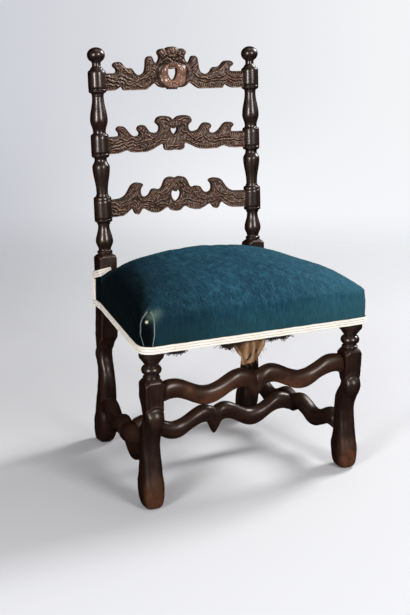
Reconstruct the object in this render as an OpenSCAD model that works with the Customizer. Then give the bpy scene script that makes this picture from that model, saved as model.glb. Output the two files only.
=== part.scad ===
// Side chair with a ladder back, carved and pierced slats, scrolled legs and an upholstered seat
// Origin on the floor under the middle of the chair, front towards -Y, +Z up

/* [Frame] */
// Distance between the front leg axes
front_span = 512; // [460:1:560]
// Distance between the back post axes
rear_span = 412; // [370:1:440]
// Distance from the front leg axes back to the post axes at the seat
seat_depth = 379; // [340:1:420]
// Height of the front rail's lower edge above the floor
seat_underside = 366; // [350:1:380]
// Height of the seat rails
rail_h = 36; // [30:1:38]
// Thickness of the seat rails
rail_t = 24; // [18:1:28]

/* [Back posts] */
// Side of the square part of each post
post_side = 45; // [40:1:50]
// Lean of the posts above the seat, degrees
post_lean = 4.3; // [0:0.1:8]
// Distance that each rear foot stands behind its post at the seat
rear_splay = 32; // [0:1:45]
// Length of the square part above the straight stretch at the rails
post_square_up = 66; // [60:1:80]
// Height above the rails' lower edge at which the post starts to lean back
lean_up = 64; // [54:1:74]
// Radius of the round blocks that hold the slats
block_r = 21.6; // [20:0.1:24]
// Radius of the balusters at their widest
baluster_r = 21; // [18:0.1:22]
// Radius of the balusters at their necks
neck_r = 14; // [13:0.1:16]
// Radius of the finial ball
finial_r = 21.2; // [18:0.1:24]
// Height of the finial ball
finial_h = 36.5; // [30:0.5:42]

/* [Slats] */
// Thickness of each slat
slat_t = 16; // [12:0.5:20]
// Depth of the bow of the slats
slat_bow = 21; // [8:1:30]
// Distance of the slat ends behind the post axes
slat_set_back = 4; // [0:0.5:8]
// Height of the plain end of each slat
slat_h = 41; // [36:1:46]
// Thickness of the slat tenons
slat_tenon_t = 9; // [7:0.5:11]
// Length of the slat tenons
slat_tenon_l = 17; // [12:1:20]
// Height of the crest slat's lower edge above the top of the square, along the post
crest_at = 387; // [384:1:389]
// Height of the middle slat's lower edge above the top of the square, along the post
middle_at = 238; // [234:1:242]
// Height of the lower slat's lower edge above the top of the square, along the post
lower_at = 86; // [82:1:92]
// How far the crest's cartouche stands proud of the slat
cartouche_relief = 5; // [2:0.5:8]

/* [Legs] */
// Side of the square blocks of the front legs
leg_side = 45; // [40:1:48]
// Side of the square that holds the seat rails at the top of each front leg
leg_top_side = 52; // [50:1:56]
// Height of the lower end of the front leg's square block
front_block_low = 258; // [250:1:266]
// Height of the upper end of the front leg's square block
front_block_top = 304; // [300:1:308]
// Height of the lower end of the square part of the back post
rear_block_low = 287; // [280:1:300]
// Radius of the bead under each front seat corner
bead_r = 22.3; // [19:0.1:24]
// Radius of the cup above the bead at its rim
cup_r = 27.5; // [24:0.1:28]
// Half width of the legs' feet
foot_half = 26; // [22:0.5:28]
// How far the knuckle of each leg stands out of the block
knuckle_out = 11; // [6:0.5:13]

/* [Stretchers] */
// Height of the front stretcher's middle line
front_stretcher_z = 258; // [254:1:262]
// Height of the side stretchers' middle line
side_stretcher_z = 102; // [96:1:110]
// Height of the cross stretcher's middle line
cross_stretcher_z = 100; // [96:1:106]
// Rise and fall of the front stretcher's wave
front_wave = 14; // [8:1:18]
// Rise and fall of the side stretchers' wave
side_wave = 11; // [6:1:14]
// Rise and fall of the cross stretcher's wave
cross_wave = 15; // [8:1:17]
// Height of the stretchers' section
stretcher_h = 44; // [38:1:48]
// Depth of the front and cross stretchers' section
stretcher_t = 36; // [30:1:40]
// Depth of the side stretchers' section
side_t = 40; // [34:1:42]
// Height of the stretchers' tenons
tenon_h = 24; // [18:1:28]
// Thickness of the stretchers' tenons
tenon_t = 12; // [9:1:14]
// Length of the stretchers' and rails' tenons
tenon_l = 20; // [14:1:24]
// Radius of the pegs that lock the tenons
peg_r = 3; // [2:0.1:4]

/* [Seat] */
// Height of the cover's shoulder above its lower edge at the front
shoulder_front = 80; // [70:1:90]
// Height of the cover's shoulder above its lower edge at the back
shoulder_back = 45; // [43:1:54]
// Rise of the crown over its edges
crown_rise = 86; // [60:1:100]
// Thickness of the velvet cover
cover_t = 2.5; // [1.5:0.1:4]
// Radius of the cover's front corners
seat_corner_r = 22; // [15:1:30]
// Height of the gimp braid
gimp_h = 17; // [12:0.5:20]
// Rise of the braid from the seat's lower edge to its top at the back of the posts
post_gimp_rise = 84; // [78:1:90]
// Rise of that braid from the back of the post to its front
post_gimp_slope = 16; // [0:1:20]
// Thickness of the gimp braid
gimp_t = 2.2; // [1.5:0.1:3]
// Width of the seat webbing
webbing_w = 52; // [40:1:58]
// Thickness of the seat webbing
webbing_t = 1.6; // [1:0.1:2.5]
// Thickness of the hessian over the webbing
hessian_t = 1.2; // [0.8:0.1:2]
// Thickness of the torn cloth under the front rail
flap_t = 1.6; // [1:0.1:3]

/* [Fits] */
// Gap round each tenon and between parts that meet
joint_gap = 0.2; // [0.1:0.05:0.4]
// Gap between soft parts and their neighbours
soft_gap = 0.3; // [0.2:0.05:0.5]

/* [Hidden] */

walnut = "#3b2a25";
velvet = "#1c4a63";
ivory = "#e8dfcb";
jute = "#9a7440";
hair = "#4a4038";
steel = "#8a8a86";

turned_fn = 32;
peg_fn = 24;
leg_y = -212;
post_y = leg_y + seat_depth;
rail_top = seat_underside + rail_h;
lean_start = seat_underside + lean_up;
seat_edge_front = seat_underside + shoulder_front;
seat_edge_back = seat_underside + shoulder_back;
square_top = lean_start + post_square_up;
splay_start = seat_underside - 14;
post_half = post_side / 2;
leg_half = leg_side / 2;
top_half = leg_top_side / 2;
peg_gap = 0.08;

function ease(t) = (1 - cos(180 * t)) / 2;
function power(v, p) = v <= 0 ? 0 : pow(v, p);
function signed(v, p) = (v < 0 ? -1 : 1) * power(abs(v), p);
function reversed(list) = [for (i = [len(list) - 1 : -1 : 0]) list[i]];
function flip_x(list) = [for (p = list) [-p.x, p.y]];

// Value of a rising table of [place, value, ...] rows at a place, eased between the rows
function row_at(table, at) =
    let (i = max([0, for (k = [0 : len(table) - 2]) if (table[k][0] <= at) k]),
         a = table[i],
         b = table[i + 1],
         t = min(1, max(0, (at - a[0]) / (b[0] - a[0]))))
    [for (k = [0 : len(a) - 1]) a[k] + (b[k] - a[k]) * t];

// Turned outline through [height, radius] keys, each stretch eased into the next
function turned(keys, steps = 6) =
    [for (i = [0 : len(keys) - 2], k = [0 : steps - 1])
        let (t = k / steps, a = keys[i], b = keys[i + 1])
        [a[1] + (b[1] - a[1]) * ease(t), a[0] + (b[0] - a[0]) * t]];

// Quarter points of a round bead, from its upper neck to its lower neck
function bead(radius, height, middle, from, to, steps) =
    [for (k = [0 : steps])
        let (a = from + (to - from) * k / steps)
        [radius * cos(a), middle + height / 2 * sin(a)]];

// Points on a smooth closed curve, with one new point between each pair
function smoothed(list) =
    let (n = len(list))
    [for (i = [0 : n - 1], k = [0, 1])
        let (a = list[(i + n - 1) % n], b = list[i], c = list[(i + 1) % n], d = list[(i + 2) % n])
        k == 0 ? b : (9 * (b + c) - (a + d)) / 16];

function middle(ring) = [for (p = ring) 1] * ring / len(ring);

// Closed solid through rings of equal count, each clockwise as seen from the next one's side
module skin(rings) {
    sides = len(rings[0]);
    last = len(rings) - 1;
    ends = len(rings) * sides;
    points = concat([for (ring = rings, p = ring) p], [middle(rings[0]), middle(rings[last])]);
    faces = [for (i = [0 : sides - 1])
        let (next = (i + 1) % sides)
        each concat(
            [[ends, next, i], [ends + 1, last * sides + i, last * sides + next]],
            [for (j = [0 : last - 1])
                each [[j * sides + i, j * sides + next, (j + 1) * sides + next],
                      [j * sides + i, (j + 1) * sides + next, (j + 1) * sides + i]]])];
    polyhedron(points, faces, convexity = 8);
}

// Back posts: turned length above the square, measured along the post from the square's top

finial_mid = crest_at + slat_h + 41.5;
post_keys = [
    [0, 17], [2, 17.5], [7, 17.5], [9, neck_r + 1],
    [lower_at - 56, baluster_r], [lower_at - 17, neck_r], [lower_at - 12, neck_r + 1],
    [lower_at - 6, block_r], [lower_at + slat_h + 8, block_r], [lower_at + slat_h + 15, neck_r + 1],
    [lower_at + slat_h + 23, neck_r], [middle_at - 29, baluster_r], [middle_at - 9, neck_r + 1.5],
    [middle_at - 3, block_r], [middle_at + slat_h + 5, block_r], [middle_at + slat_h + 10, neck_r + 1.5],
    [middle_at + slat_h + 40, baluster_r], [crest_at - 12, neck_r], [crest_at - 8, neck_r + 0.5],
    [crest_at - 1, block_r], [crest_at + slat_h + 4, block_r], [crest_at + slat_h + 9, 15],
    [crest_at + slat_h + 17, 10.6], [crest_at + slat_h + 23, 10.6]];

module post_turning() {
    outline = concat(
        [[0, -20], [17, -20]],
        turned(post_keys, 4),
        bead(finial_r, finial_h, finial_mid, -66, 90, 14));
    rotate_extrude($fn = turned_fn) polygon(outline);
}

// What turning takes off the corners of a square's top, so that each face ends in an arch
module turned_off(half, top, drop) {
    rotate_extrude($fn = turned_fn)
        polygon([[half * 0.78, top], [half * 1.08, top - drop * 0.28], [half * 1.32, top - drop * 0.62],
                 [half * 1.5, top - drop], [half * 1.5, top + 1], [half * 0.78, top + 1]]);
}

module turned_square(half, low, top, drop) {
    difference() {
        translate([-half, -half, low]) cube([2 * half, 2 * half, top - low]);
        turned_off(half, top, drop);
    }
}

// Where an upright face at a distance from the post's axis turns into the leaning one
function lean_kink(y) = [y, lean_start - y * tan(post_lean / 2)];
function lean_point(y, z) = [y / cos(post_lean) + (z - lean_start) * tan(post_lean), z];

// Corner of the square's top, which is square to the lean
function lean_top(y) = [y * cos(post_lean) + post_square_up * sin(post_lean),
                        lean_start - y * sin(post_lean) + post_square_up * cos(post_lean)];

// Post's square part, straight at the rails and leaning above them
module post_square() {
    drop = (splay_start - rear_block_low) * rear_splay / splay_start;
    difference() {
        translate([0, post_y, 0]) rotate([90, 0, 90]) translate([0, 0, -post_half])
            linear_extrude(post_side)
                polygon([[drop - post_half, rear_block_low], [drop + post_half, rear_block_low],
                         [post_half, splay_start], lean_kink(post_half), lean_top(post_half),
                         lean_top(-post_half), lean_kink(-post_half), [-post_half, splay_start]]);
        on_lean() turned_off(post_half, 0, 14);
    }
}

// Places its children on the leaning length of a post, with the top of the square at zero
module on_lean() {
    translate([0, post_y, lean_start]) rotate([-post_lean, 0, 0])
        translate([0, 0, post_square_up]) children();
}

// Scrolled legs: height as a share of the block's height, outward and inward reach, half width
foot_rows = [
    [0, 11, 17, 13], [0.015, 19, 24, 19.5], [0.045, 24, 30, 23], [0.1, 27, 35, 25],
    [0.175, 27, 38.5, 26], [0.235, 24, 39.5, 26], [0.29, 20, 34.5, 24.5]];
front_rows = concat(foot_rows, [
    [0.39, 14.5, 32, 23], [0.49, 9.5, 33, 22], [0.58, 6.5, 35, 21.5], [0.64, 8.5, 36, 21.5],
    [0.7, 14, 33, 21.5], [0.76, 20, 24, 21.8], [0.82, 21.5, 13, 21.9], [0.875, 21.9, 9.5, 21.9],
    [0.925, 21.9, 11, 21.9], [0.965, 21.9, 17, 21.9], [0.99, 21.9, 21, 21.9], [1.03, 21.9, 21.9, 21.9]]);
rear_rows = concat(foot_rows, [
    [0.39, 19, 33, 23], [0.49, 15, 32.5, 22], [0.58, 14, 32, 20.5], [0.64, 15.5, 28.5, 19.5],
    [0.7, 18, 22, 18.8], [0.76, 21.5, 13, 18.8], [0.82, 22, 6, 19.2], [0.875, 22, 3.5, 20],
    [0.925, 21.9, 6, 21], [0.965, 21.9, 14, 21.9], [0.99, 21.9, 21, 21.9], [1.03, 21.9, 21.9, 21.9]]);
bone_sides = 16;

// One ring of a leg, its corners squarer towards the block
function bone_ring(row, z, y, out_sign, size) =
    let (p = row[0] < 0.8 ? 3.6 : 3.6 + (row[0] - 0.8) * 30,
         mid = (row[2] - row[1]) / 2 * size,
         half = (row[2] + row[1]) / 2 * size)
    [for (i = [0 : bone_sides - 1])
        let (a = 360 * (i + 0.5) / bone_sides)
        [row[3] * size * signed(cos(a), 2 / p),
         y - out_sign * mid - half * signed(sin(a), 2 / p), z]];

module bone(rows, block_low, out_sign, foot_y, top_y) {
    foot_size = foot_half / 26;
    block_size = leg_side / 45;
    skin([for (row = rows)
        let (z = row[0] * block_low, y = foot_y + (top_y - foot_y) * row[0])
        bone_ring(row, z, y, out_sign, row[0] < 0.8 ? foot_size : block_size)]);
}

// Round knuckle that stands out of the block, seen as an arch on its face
module knuckle(block_low, out_sign, foot_y, top_y) {
    share = 0.83;
    z = share * block_low;
    y = foot_y + (top_y - foot_y) * share + out_sign * (leg_half - 5.5);
    rings = 9;
    skin([for (k = [0 : rings - 1])
        let (a = -84 + 168 * k / (rings - 1))
        [for (i = [0 : 13])
            let (b = 360 * i / 14)
            [22.3 * cos(a) * cos(b), y - (knuckle_out + 5.5) * cos(a) * sin(b), z + 22 * sin(a)]]]);
}

rear_foot_y = post_y + rear_splay;
rear_block_y = post_y + (splay_start - rear_block_low) * rear_splay / splay_start;

// Place of a rear leg's axis at a height under the rails
function rear_axis_y(z) = post_y + (splay_start - z) * rear_splay / splay_start;

// Side stretchers run between the leg axes; the slope is their turn in plan
stretcher_dx = (front_span - rear_span) / 2;
stretcher_rear_y = rear_axis_y(side_stretcher_z);
stretcher_dy = stretcher_rear_y - leg_y;
side_turn = atan(stretcher_dx / stretcher_dy);
side_length = norm([stretcher_dx, stretcher_dy]);
side_mid_x = (front_span + rear_span) / 4;
side_mid_y = (leg_y + stretcher_rear_y) / 2;
side_end = side_length / 2 - 27;

// Places its children on a side stretcher, along local X from the front leg to the rear leg
module on_side(side) {
    translate([side * side_mid_x, side_mid_y, 0]) rotate([0, 0, 90 + side * side_turn]) children();
}

// Wavy stretchers: one crest each side of the middle, one near each end, a notch and a drop

wave_sides = 12;
wave_rings = 36;

function wave_mid(s, mean, rise, crest, period) =
    mean + rise * cos(360 * (max(abs(s), crest) - crest) / period);

function wave_ring(s, mean, rise, crest, period, notch, drop, drop_w, thick) =
    let (mid = wave_mid(s, mean, rise, crest, period),
         top = mid + stretcher_h / 2 - notch * power(1 - min(1, abs(s) / crest), 1.6),
         low = mid - stretcher_h / 2 - drop * exp(-pow(s / drop_w, 2)),
         deep = thick / 2 * (1 - 0.14 * exp(-pow(s / 6, 2))))
    [for (i = [0 : wave_sides - 1])
        let (a = 360 * (i + 0.5) / wave_sides)
        [s, deep * signed(cos(a), 0.86), (top + low) / 2 - (top - low) / 2 * signed(sin(a), 0.86)]];

module wave_bar(end, mean, rise, crest, period, notch, drop, drop_w, thick = stretcher_t) {
    half = wave_rings / 2;
    skin([for (k = [-half : half])
        let (t = k / half, s = end * (0.55 * t + 0.45 * t * abs(t)))
        wave_ring(s, mean, rise, crest, period, notch, drop, drop_w, thick)]);
}

// Tenon at one end of a bar along X, or its mortise when the gap is given
module bar_tenon(from, to, z, gap = 0) {
    translate([from, -tenon_t / 2 - gap, z - tenon_h / 2 - gap])
        cube([to - from, tenon_t + 2 * gap, tenon_h + 2 * gap]);
}

// The same tenon towards one side, its places given as distances from the middle
module sided_tenon(side, from, to, z, gap = 0) {
    bar_tenon(min(side * from, side * to), max(side * from, side * to), z, gap);
}

// Seat for the shaped end of a stretcher in the leg or bar that it meets
module end_housing(from, to, z, thick = stretcher_t) {
    outline = [for (i = [0 : wave_sides - 1])
        let (a = 360 * (i + 0.5) / wave_sides)
        [(thick / 2 + joint_gap) * signed(cos(a), 0.86),
         (stretcher_h / 2 + joint_gap) * signed(sin(a), 0.86)]];
    translate([from, 0, z]) rotate([90, 0, 90]) linear_extrude(to - from) polygon(outline);
}

front_end = front_span / 2 - leg_half - joint_gap;
front_crest = 37;
front_period = 170;
front_end_z = wave_mid(front_end, front_stretcher_z, front_wave, front_crest, front_period);

side_crest = 29;
side_period = 120;
side_end_z = wave_mid(side_end, side_stretcher_z, side_wave, side_crest, side_period);

cross_crest = 27;
cross_period = 160;
cross_end = side_mid_x - side_t / 2 + 3;
cross_end_z = wave_mid(cross_end, cross_stretcher_z, cross_wave, cross_crest, cross_period);

// Pegs: a pin across each tenon, with its hole a little wider

module peg_y(x, y0, y1, z, gap = 0) {
    translate([x, y0, z]) rotate([-90, 0, 0]) cylinder(r = peg_r + gap, h = y1 - y0, $fn = peg_fn);
}

module peg_x(x0, x1, y, z, gap = 0) {
    translate([x0, y, z]) rotate([0, 90, 0]) cylinder(r = peg_r + gap, h = x1 - x0, $fn = peg_fn);
}

front_peg_x = front_span / 2 - leg_half + tenon_l / 2;
front_peg_y = leg_y - leg_half;
front_peg_l = leg_half + tenon_t / 2 + 7;
front_peg_z = front_end_z + 4;

module front_stretcher_peg(side, gap = 0) {
    peg_y(side * front_peg_x, front_peg_y - gap, front_peg_y + front_peg_l + gap, front_peg_z, gap);
}

// Carved slats

slat_half = rear_span / 2;
bow_x = slat_half - block_r;
bow_r = (pow(bow_x, 2) + pow(slat_bow, 2)) / (2 * slat_bow);
bow_y = slat_set_back + slat_bow - bow_r;

// Upright bent board, its thickness measured forwards and backwards from its middle
module bent_plate(front, back, half_x, low, high) {
    difference() {
        intersection() {
            translate([-half_x, -slat_t, low]) cube([2 * half_x, slat_bow + 3 * slat_t, high - low]);
            translate([0, bow_y, low - 1]) cylinder(r = bow_r + back, h = high - low + 2, $fn = 360);
        }
        translate([0, bow_y, low - 2]) cylinder(r = bow_r - front, h = high - low + 4, $fn = 360);
    }
}

// Outline in the face of a slat pushed through its thickness
module face_cut(outline) {
    translate([0, slat_bow + 3 * slat_t, 0]) rotate([90, 0, 0])
        linear_extrude(slat_bow + 6 * slat_t) polygon(outline);
}

// The outlines below are drawn for a slat of this half length and end height
drawn_half = 206;
drawn_h = 41;
wide = slat_half / drawn_half;
tall = slat_h / drawn_h;

function fitted(outline) = [for (p = outline) [p.x * wide, p.y * tall]];
function whole(half_outline) =
    let (half = fitted(half_outline)) concat(half, flip_x(reversed(half)));

crest_outline = [
    [190, 41], [157, 41], [152, 46], [154, 51], [160, 56], [160.5, 61], [156, 65], [148, 67],
    [140, 65.5], [134, 60], [129, 54.5], [122, 52], [114, 52], [108, 48.5], [104, 42], [98, 37],
    [90, 35.5], [82, 37], [76, 41], [73, 47], [71, 56], [70, 67], [68, 75], [62, 79.5], [56, 79.5],
    [52.5, 75], [50, 69], [47, 65], [43, 63.5], [38, 65.5], [34.5, 71], [33, 79], [37, 86.5],
    [35.5, 92.5], [30, 96.5], [23, 97.5], [17, 95.5], [13, 99], [7, 101.5], [1, 102.2]];
crest_underside = [
    [1, 0], [12, 0], [13, 3.5], [24, 4], [33, 6.5], [39, 10], [43, 14], [47, 15.5], [52, 14],
    [58, 10], [64, 5.5], [71, 1.5], [80, 0], [128, 0], [133, 1], [136, 5], [140, 9.5], [145, 8],
    [151, 4], [158, 1], [166, 0], [190, 0]];
middle_outline = [
    [190, 41], [156, 41], [152, 45], [154, 51], [158.5, 56], [157, 61], [151, 64.5], [143, 64.5],
    [136, 61], [130, 54.5], [124, 47.5], [117, 41.5], [109, 39], [101, 39.5], [95.5, 42], [95, 48],
    [100, 54], [99, 60], [94, 64], [86, 65.5], [79, 62.5], [73, 55.5], [68, 49], [60, 46],
    [51, 45], [44, 46.5], [40, 51], [39, 59], [42, 64], [48.5, 70], [47, 76.5], [42.5, 82],
    [34, 85], [24, 85.3], [14, 83.5], [8, 80.5], [4, 77], [1, 75.5]];
middle_underside = [
    [1, 2.5], [6, 0.5], [13, 0], [20, 1], [25, 4], [27, 9], [27, 14], [31, 17], [37, 16], [44, 13],
    [52, 9.5], [60, 5.5], [69, 2], [80, 0], [109, 0], [118, 1.5], [126, 5], [135, 6], [143, 4],
    [152, 1], [162, 0], [190, 0]];
lower_outline = [
    [190, 42], [165, 42.5], [153, 44], [144, 48], [138, 53], [132.5, 60], [128, 67], [123, 73],
    [115, 77.5], [106, 78.5], [98, 77], [92, 73.5], [93.5, 69], [97.5, 63.5], [99, 56], [98, 50],
    [94.5, 45], [86, 42.5], [77, 45], [71.5, 50.5], [68, 56.5], [63, 60], [56, 60.5], [49, 58.5],
    [42, 59], [37.5, 63], [34, 69.5], [30.5, 77.5], [25, 83.5], [18, 86.5], [10, 87], [4, 85],
    [1, 84]];
lower_underside = [
    [1, 1], [7, 1.5], [13, 4], [17, 8.5], [22, 11], [28, 11], [34, 8], [42, 4], [51, 1.5], [62, 1],
    [70, 3.5], [78, 7.5], [84, 11], [90, 13], [96, 12.5], [100, 8], [104, 3], [108.5, 0.5],
    [113, 2], [117, 7], [119.5, 12.5], [123, 15.5], [128, 15], [134, 11], [140, 6.5], [147, 2.5],
    [157, 0.5], [190, 0]];
cartouche_outline = [
    [1, 8], [12, 8.5], [21, 12], [28, 18], [33, 27], [36, 38], [36.5, 48], [33, 57], [25, 61],
    [14, 62], [1, 64]];
crest_opening = [
    [1, 22.5], [5, 24], [9, 29], [12, 36], [13, 43], [12.5, 48.5], [9, 50.5], [4, 49.5], [1, 48.5]];
middle_heart = [[1, 38], [4, 41], [8, 46], [10.3, 51], [9.5, 55], [6, 56.5], [2.5, 55.5], [1, 53.5]];
lower_heart = [
    [1, 26], [5, 27.5], [9.5, 32], [13, 39], [14, 46], [12, 51.5], [7.5, 53.5], [3.5, 52], [1, 49.5]];

module slat(outline, underside, opening) {
    difference() {
        intersection() {
            bent_plate(slat_t / 2, slat_t / 2, slat_half - 2, -5, 110 * tall);
            face_cut(whole(concat(underside, outline)));
        }
        face_cut(whole(opening));
        for (side = [-1, 1])
            translate([side * slat_half, 0, -10]) cylinder(r = block_r + joint_gap, h = 130, $fn = turned_fn);
    }
    intersection() {
        bent_plate(slat_tenon_t / 2, slat_tenon_t / 2, bow_x + slat_tenon_l, 5, slat_h - 5);
        union()
            for (side = [-1, 1])
                translate([side * (bow_x + slat_tenon_l / 2 - 2), slat_set_back, slat_h / 2])
                    cube([slat_tenon_l + 4, 3 * slat_t, slat_h], center = true);
    }
}

module slat_at(at) {
    on_lean() translate([0, 0, at]) children();
}

module slat_mortise(at) {
    translate([-slat_half, 0, at])
        intersection() {
            bent_plate(slat_tenon_t / 2 + joint_gap, slat_tenon_t / 2 + joint_gap, slat_half, 5 - joint_gap,
                       slat_h - 5 + joint_gap);
            translate([bow_x - 5, -slat_t, 0]) cube([slat_tenon_l + 6, 3 * slat_t, slat_h]);
        }
}

slat_peg_x = block_r - slat_tenon_l / 2;
slat_peg_back = sqrt(pow(block_r, 2) - pow(slat_peg_x, 2)) - 0.5;

// Peg from the back of a round block through the tenon, in the post's own frame
module slat_peg(side, at, gap = 0) {
    peg_y(side * (slat_half - slat_peg_x), -8 - gap, slat_peg_back + 40 * gap, at + slat_h / 2, gap);
}

module post(side) {
    color(walnut) difference() {
        union() {
            translate([side * rear_span / 2, 0, 0]) {
                on_lean() post_turning();
                post_square();
                bone(rear_rows, rear_block_low, 1, rear_foot_y, rear_block_y);
                knuckle(rear_block_low, 1, rear_foot_y, rear_block_y);
            }
        }
        on_lean() for (at = [lower_at, middle_at, crest_at]) {
            mirror([side < 0 ? 1 : 0, 0, 0]) translate([slat_half, 0, 0]) slat_mortise(at);
            slat_peg(side, at, peg_gap);
        }
        rail_mortises_rear(side);
        on_side(side) {
            end_housing(side_end - 4, side_end + joint_gap, side_end_z, side_t);
            bar_tenon(side_end - 1, side_end + tenon_l + joint_gap, side_end_z, joint_gap);
        }
        side_stretcher_peg(side, 1, peg_gap);
    }
}

module left_back_post() { post(-1); }
module right_back_post() { post(1); }

module crest_slat() {
    color(walnut) difference() {
        slat_at(crest_at) {
            slat(crest_outline, crest_underside, crest_opening);
            difference() {
                intersection() {
                    bent_plate(slat_t / 2 + cartouche_relief, -slat_t / 2 + 1, 40 * wide, -5, 110 * tall);
                    union() {
                        face_cut(whole(cartouche_outline));
                        face_cut(fitted([[-12, 0], [12, 0], [12, 9], [-12, 9]]));
                    }
                }
                face_cut(whole(crest_opening));
            }
        }
        for (side = [-1, 1]) on_lean() slat_peg(side, crest_at, peg_gap);
    }
}

module middle_slat() {
    color(walnut) difference() {
        slat_at(middle_at) slat(middle_outline, middle_underside, middle_heart);
        for (side = [-1, 1]) on_lean() slat_peg(side, middle_at, peg_gap);
    }
}

module lower_slat() {
    color(walnut) difference() {
        slat_at(lower_at) slat(lower_outline, lower_underside, lower_heart);
        for (side = [-1, 1]) on_lean() slat_peg(side, lower_at, peg_gap);
    }
}

// Front legs

module front_turning() {
    bead_z = front_block_top + 18.5;
    outline = concat(
        [[0, front_block_top - 6], [16, front_block_top - 6], [16, front_block_top],
         [19, front_block_top + 1], [19, front_block_top + 3], [15.5, front_block_top + 4.5]],
        bead(bead_r, 29, bead_z, -50, 50, 10),
        [[16.5, front_block_top + 33], [18, front_block_top + 34.5], [22, front_block_top + 41],
         [cup_r - 1, front_block_top + 46], [cup_r, front_block_top + 49], [cup_r, seat_underside - 1],
         [0, seat_underside - 1]]);
    rotate_extrude($fn = turned_fn) polygon(outline);
}

module front_leg(side) {
    color(walnut) difference() {
        translate([side * front_span / 2, leg_y, 0]) {
            front_turning();
            turned_square(leg_half, front_block_low - 2, front_block_top, 19);
            bone(front_rows, front_block_low, -1, 0, 0);
            knuckle(front_block_low, -1, 0, 0);
            translate([-top_half, -top_half, seat_underside - 2])
                cube([leg_top_side, leg_top_side, rail_h + 2]);
        }
        translate([0, leg_y, 0])
            sided_tenon(side, front_end, front_end + tenon_l + 2 * joint_gap, front_end_z, joint_gap);
        front_stretcher_peg(side, peg_gap);
        on_side(side) {
            end_housing(-side_end - joint_gap, 4 - side_end, side_end_z, side_t);
            bar_tenon(-side_end - tenon_l - joint_gap, 1 - side_end, side_end_z, joint_gap);
        }
        side_stretcher_peg(side, -1, peg_gap);
        rail_mortises_front(side);
        rail_peg(side, peg_gap);
    }
}

module left_front_leg() { front_leg(-1); }
module right_front_leg() { front_leg(1); }

// Stretchers

module front_stretcher() {
    color(walnut) difference() {
        translate([0, leg_y, 0]) {
            wave_bar(front_end, front_stretcher_z, front_wave, front_crest, front_period, 15, 30, 16);
            for (end = [-1, 1]) sided_tenon(end, front_end - 5, front_end + tenon_l, front_end_z);
        }
        for (side = [-1, 1]) front_stretcher_peg(side, peg_gap);
    }
}

module side_stretcher_peg(side, end, gap = 0) {
    reach = tenon_t / 2 + 8 + gap;
    on_side(side) peg_y(end * (side_end + tenon_l * 0.6), -reach, reach, side_end_z, gap);
}

// Straight ends that the housings in the legs close round
module side_ends() {
    for (end = [-1, 1]) sided_tenon(end, side_end - 5, side_end + tenon_l, side_end_z);
}

module side_stretcher(side) {
    color(walnut) difference() {
        on_side(side) {
            wave_bar(side_end, side_stretcher_z, side_wave, side_crest, side_period, 9, 12, 16, side_t);
            side_ends();
        }
        for (end = [-1, 1]) side_stretcher_peg(side, end, peg_gap);
        translate([0, side_mid_y, 0]) {
            end_housing(min(side * (cross_end - 8), side * (cross_end + joint_gap)),
                        max(side * (cross_end - 8), side * (cross_end + joint_gap)), cross_end_z);
            sided_tenon(side, cross_end, cross_end + cross_tenon_l + joint_gap, cross_end_z, joint_gap);
        }
    }
}

module left_side_stretcher() { side_stretcher(-1); }
module right_side_stretcher() { side_stretcher(1); }

cross_tenon_l = side_t * 0.55;

module cross_stretcher() {
    color(walnut) translate([0, side_mid_y, 0]) {
        wave_bar(cross_end, cross_stretcher_z, cross_wave, cross_crest, cross_period, 9, 35, 12);
        for (end = [-1, 1]) sided_tenon(end, cross_end - 5, cross_end + cross_tenon_l, cross_end_z);
    }
}

// Seat rails

rail_tenon_t = 10;
rail_tenon_h = rail_h - 14;
rail_tenon_z = seat_underside + 4;
rail_tenon_mid = rail_tenon_z + rail_tenon_h / 2;
rail_out = front_span / 2 + top_half;
rail_front_y = leg_y - top_half;
rail_corner_y = leg_y + top_half;
post_front_y = post_y - post_half;
post_out = rear_span / 2 + post_half;
back_rail_y = post_y + post_half - rail_t - 5;
front_rail_end = front_span / 2 - top_half - joint_gap;
back_rail_end = rear_span / 2 - post_half - joint_gap;

module front_rail_tenons(gap = 0) {
    for (side = [-1, 1])
        translate([side * (front_rail_end + tenon_l / 2 - 2), rail_front_y + rail_t / 2 + 2, rail_tenon_mid])
            cube([tenon_l + 4 + 2 * gap, rail_tenon_t + 2 * gap, rail_tenon_h + 2 * gap], center = true);
}

module back_rail_tenons(gap = 0) {
    for (side = [-1, 1])
        translate([side * (back_rail_end + tenon_l / 2 - 2), back_rail_y + rail_t / 2, rail_tenon_mid])
            cube([tenon_l + 4 + 2 * gap, rail_tenon_t + 2 * gap, rail_tenon_h + 2 * gap], center = true);
}

// Side rails follow the tapering sides of the seat
side_run = post_front_y - rail_corner_y;
side_drift = rail_out - post_out;
side_normal = norm([side_run, side_drift]) / side_run;

function side_x(y) = rail_out - side_drift * (y - rail_corner_y) / side_run;

function side_strip(y0, y1, outer, inner) =
    [[side_x(y0) - outer * side_normal, y0], [side_x(y1) - outer * side_normal, y1],
     [side_x(y1) - inner * side_normal, y1], [side_x(y0) - inner * side_normal, y0]];

module side_rail_tenons(side, gap = 0) {
    outer = (rail_t - rail_tenon_t) / 2 + 1 - gap;
    inner = outer + rail_tenon_t + 2 * gap;
    reach = tenon_l * 0.8 - joint_gap + gap;
    mirror([side < 0 ? 1 : 0, 0, 0])
        translate([0, 0, rail_tenon_z - gap])
            linear_extrude(rail_tenon_h + 2 * gap) {
                polygon(side_strip(rail_corner_y - reach, rail_corner_y + 4, outer, inner));
                polygon(side_strip(post_front_y - 4, post_front_y + reach, outer, inner));
            }
}

module rail_mortises_front(side) {
    front_rail_tenons(joint_gap);
    side_rail_tenons(side, joint_gap);
}

module rail_mortises_rear(side) {
    back_rail_tenons(joint_gap);
    side_rail_tenons(side, joint_gap);
}

rail_peg_x = front_span / 2 - top_half + tenon_l / 2;

module rail_peg(side, gap = 0) {
    peg_y(side * rail_peg_x, rail_front_y - gap, leg_y - 2 + gap, rail_tenon_mid, gap);
}

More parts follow.
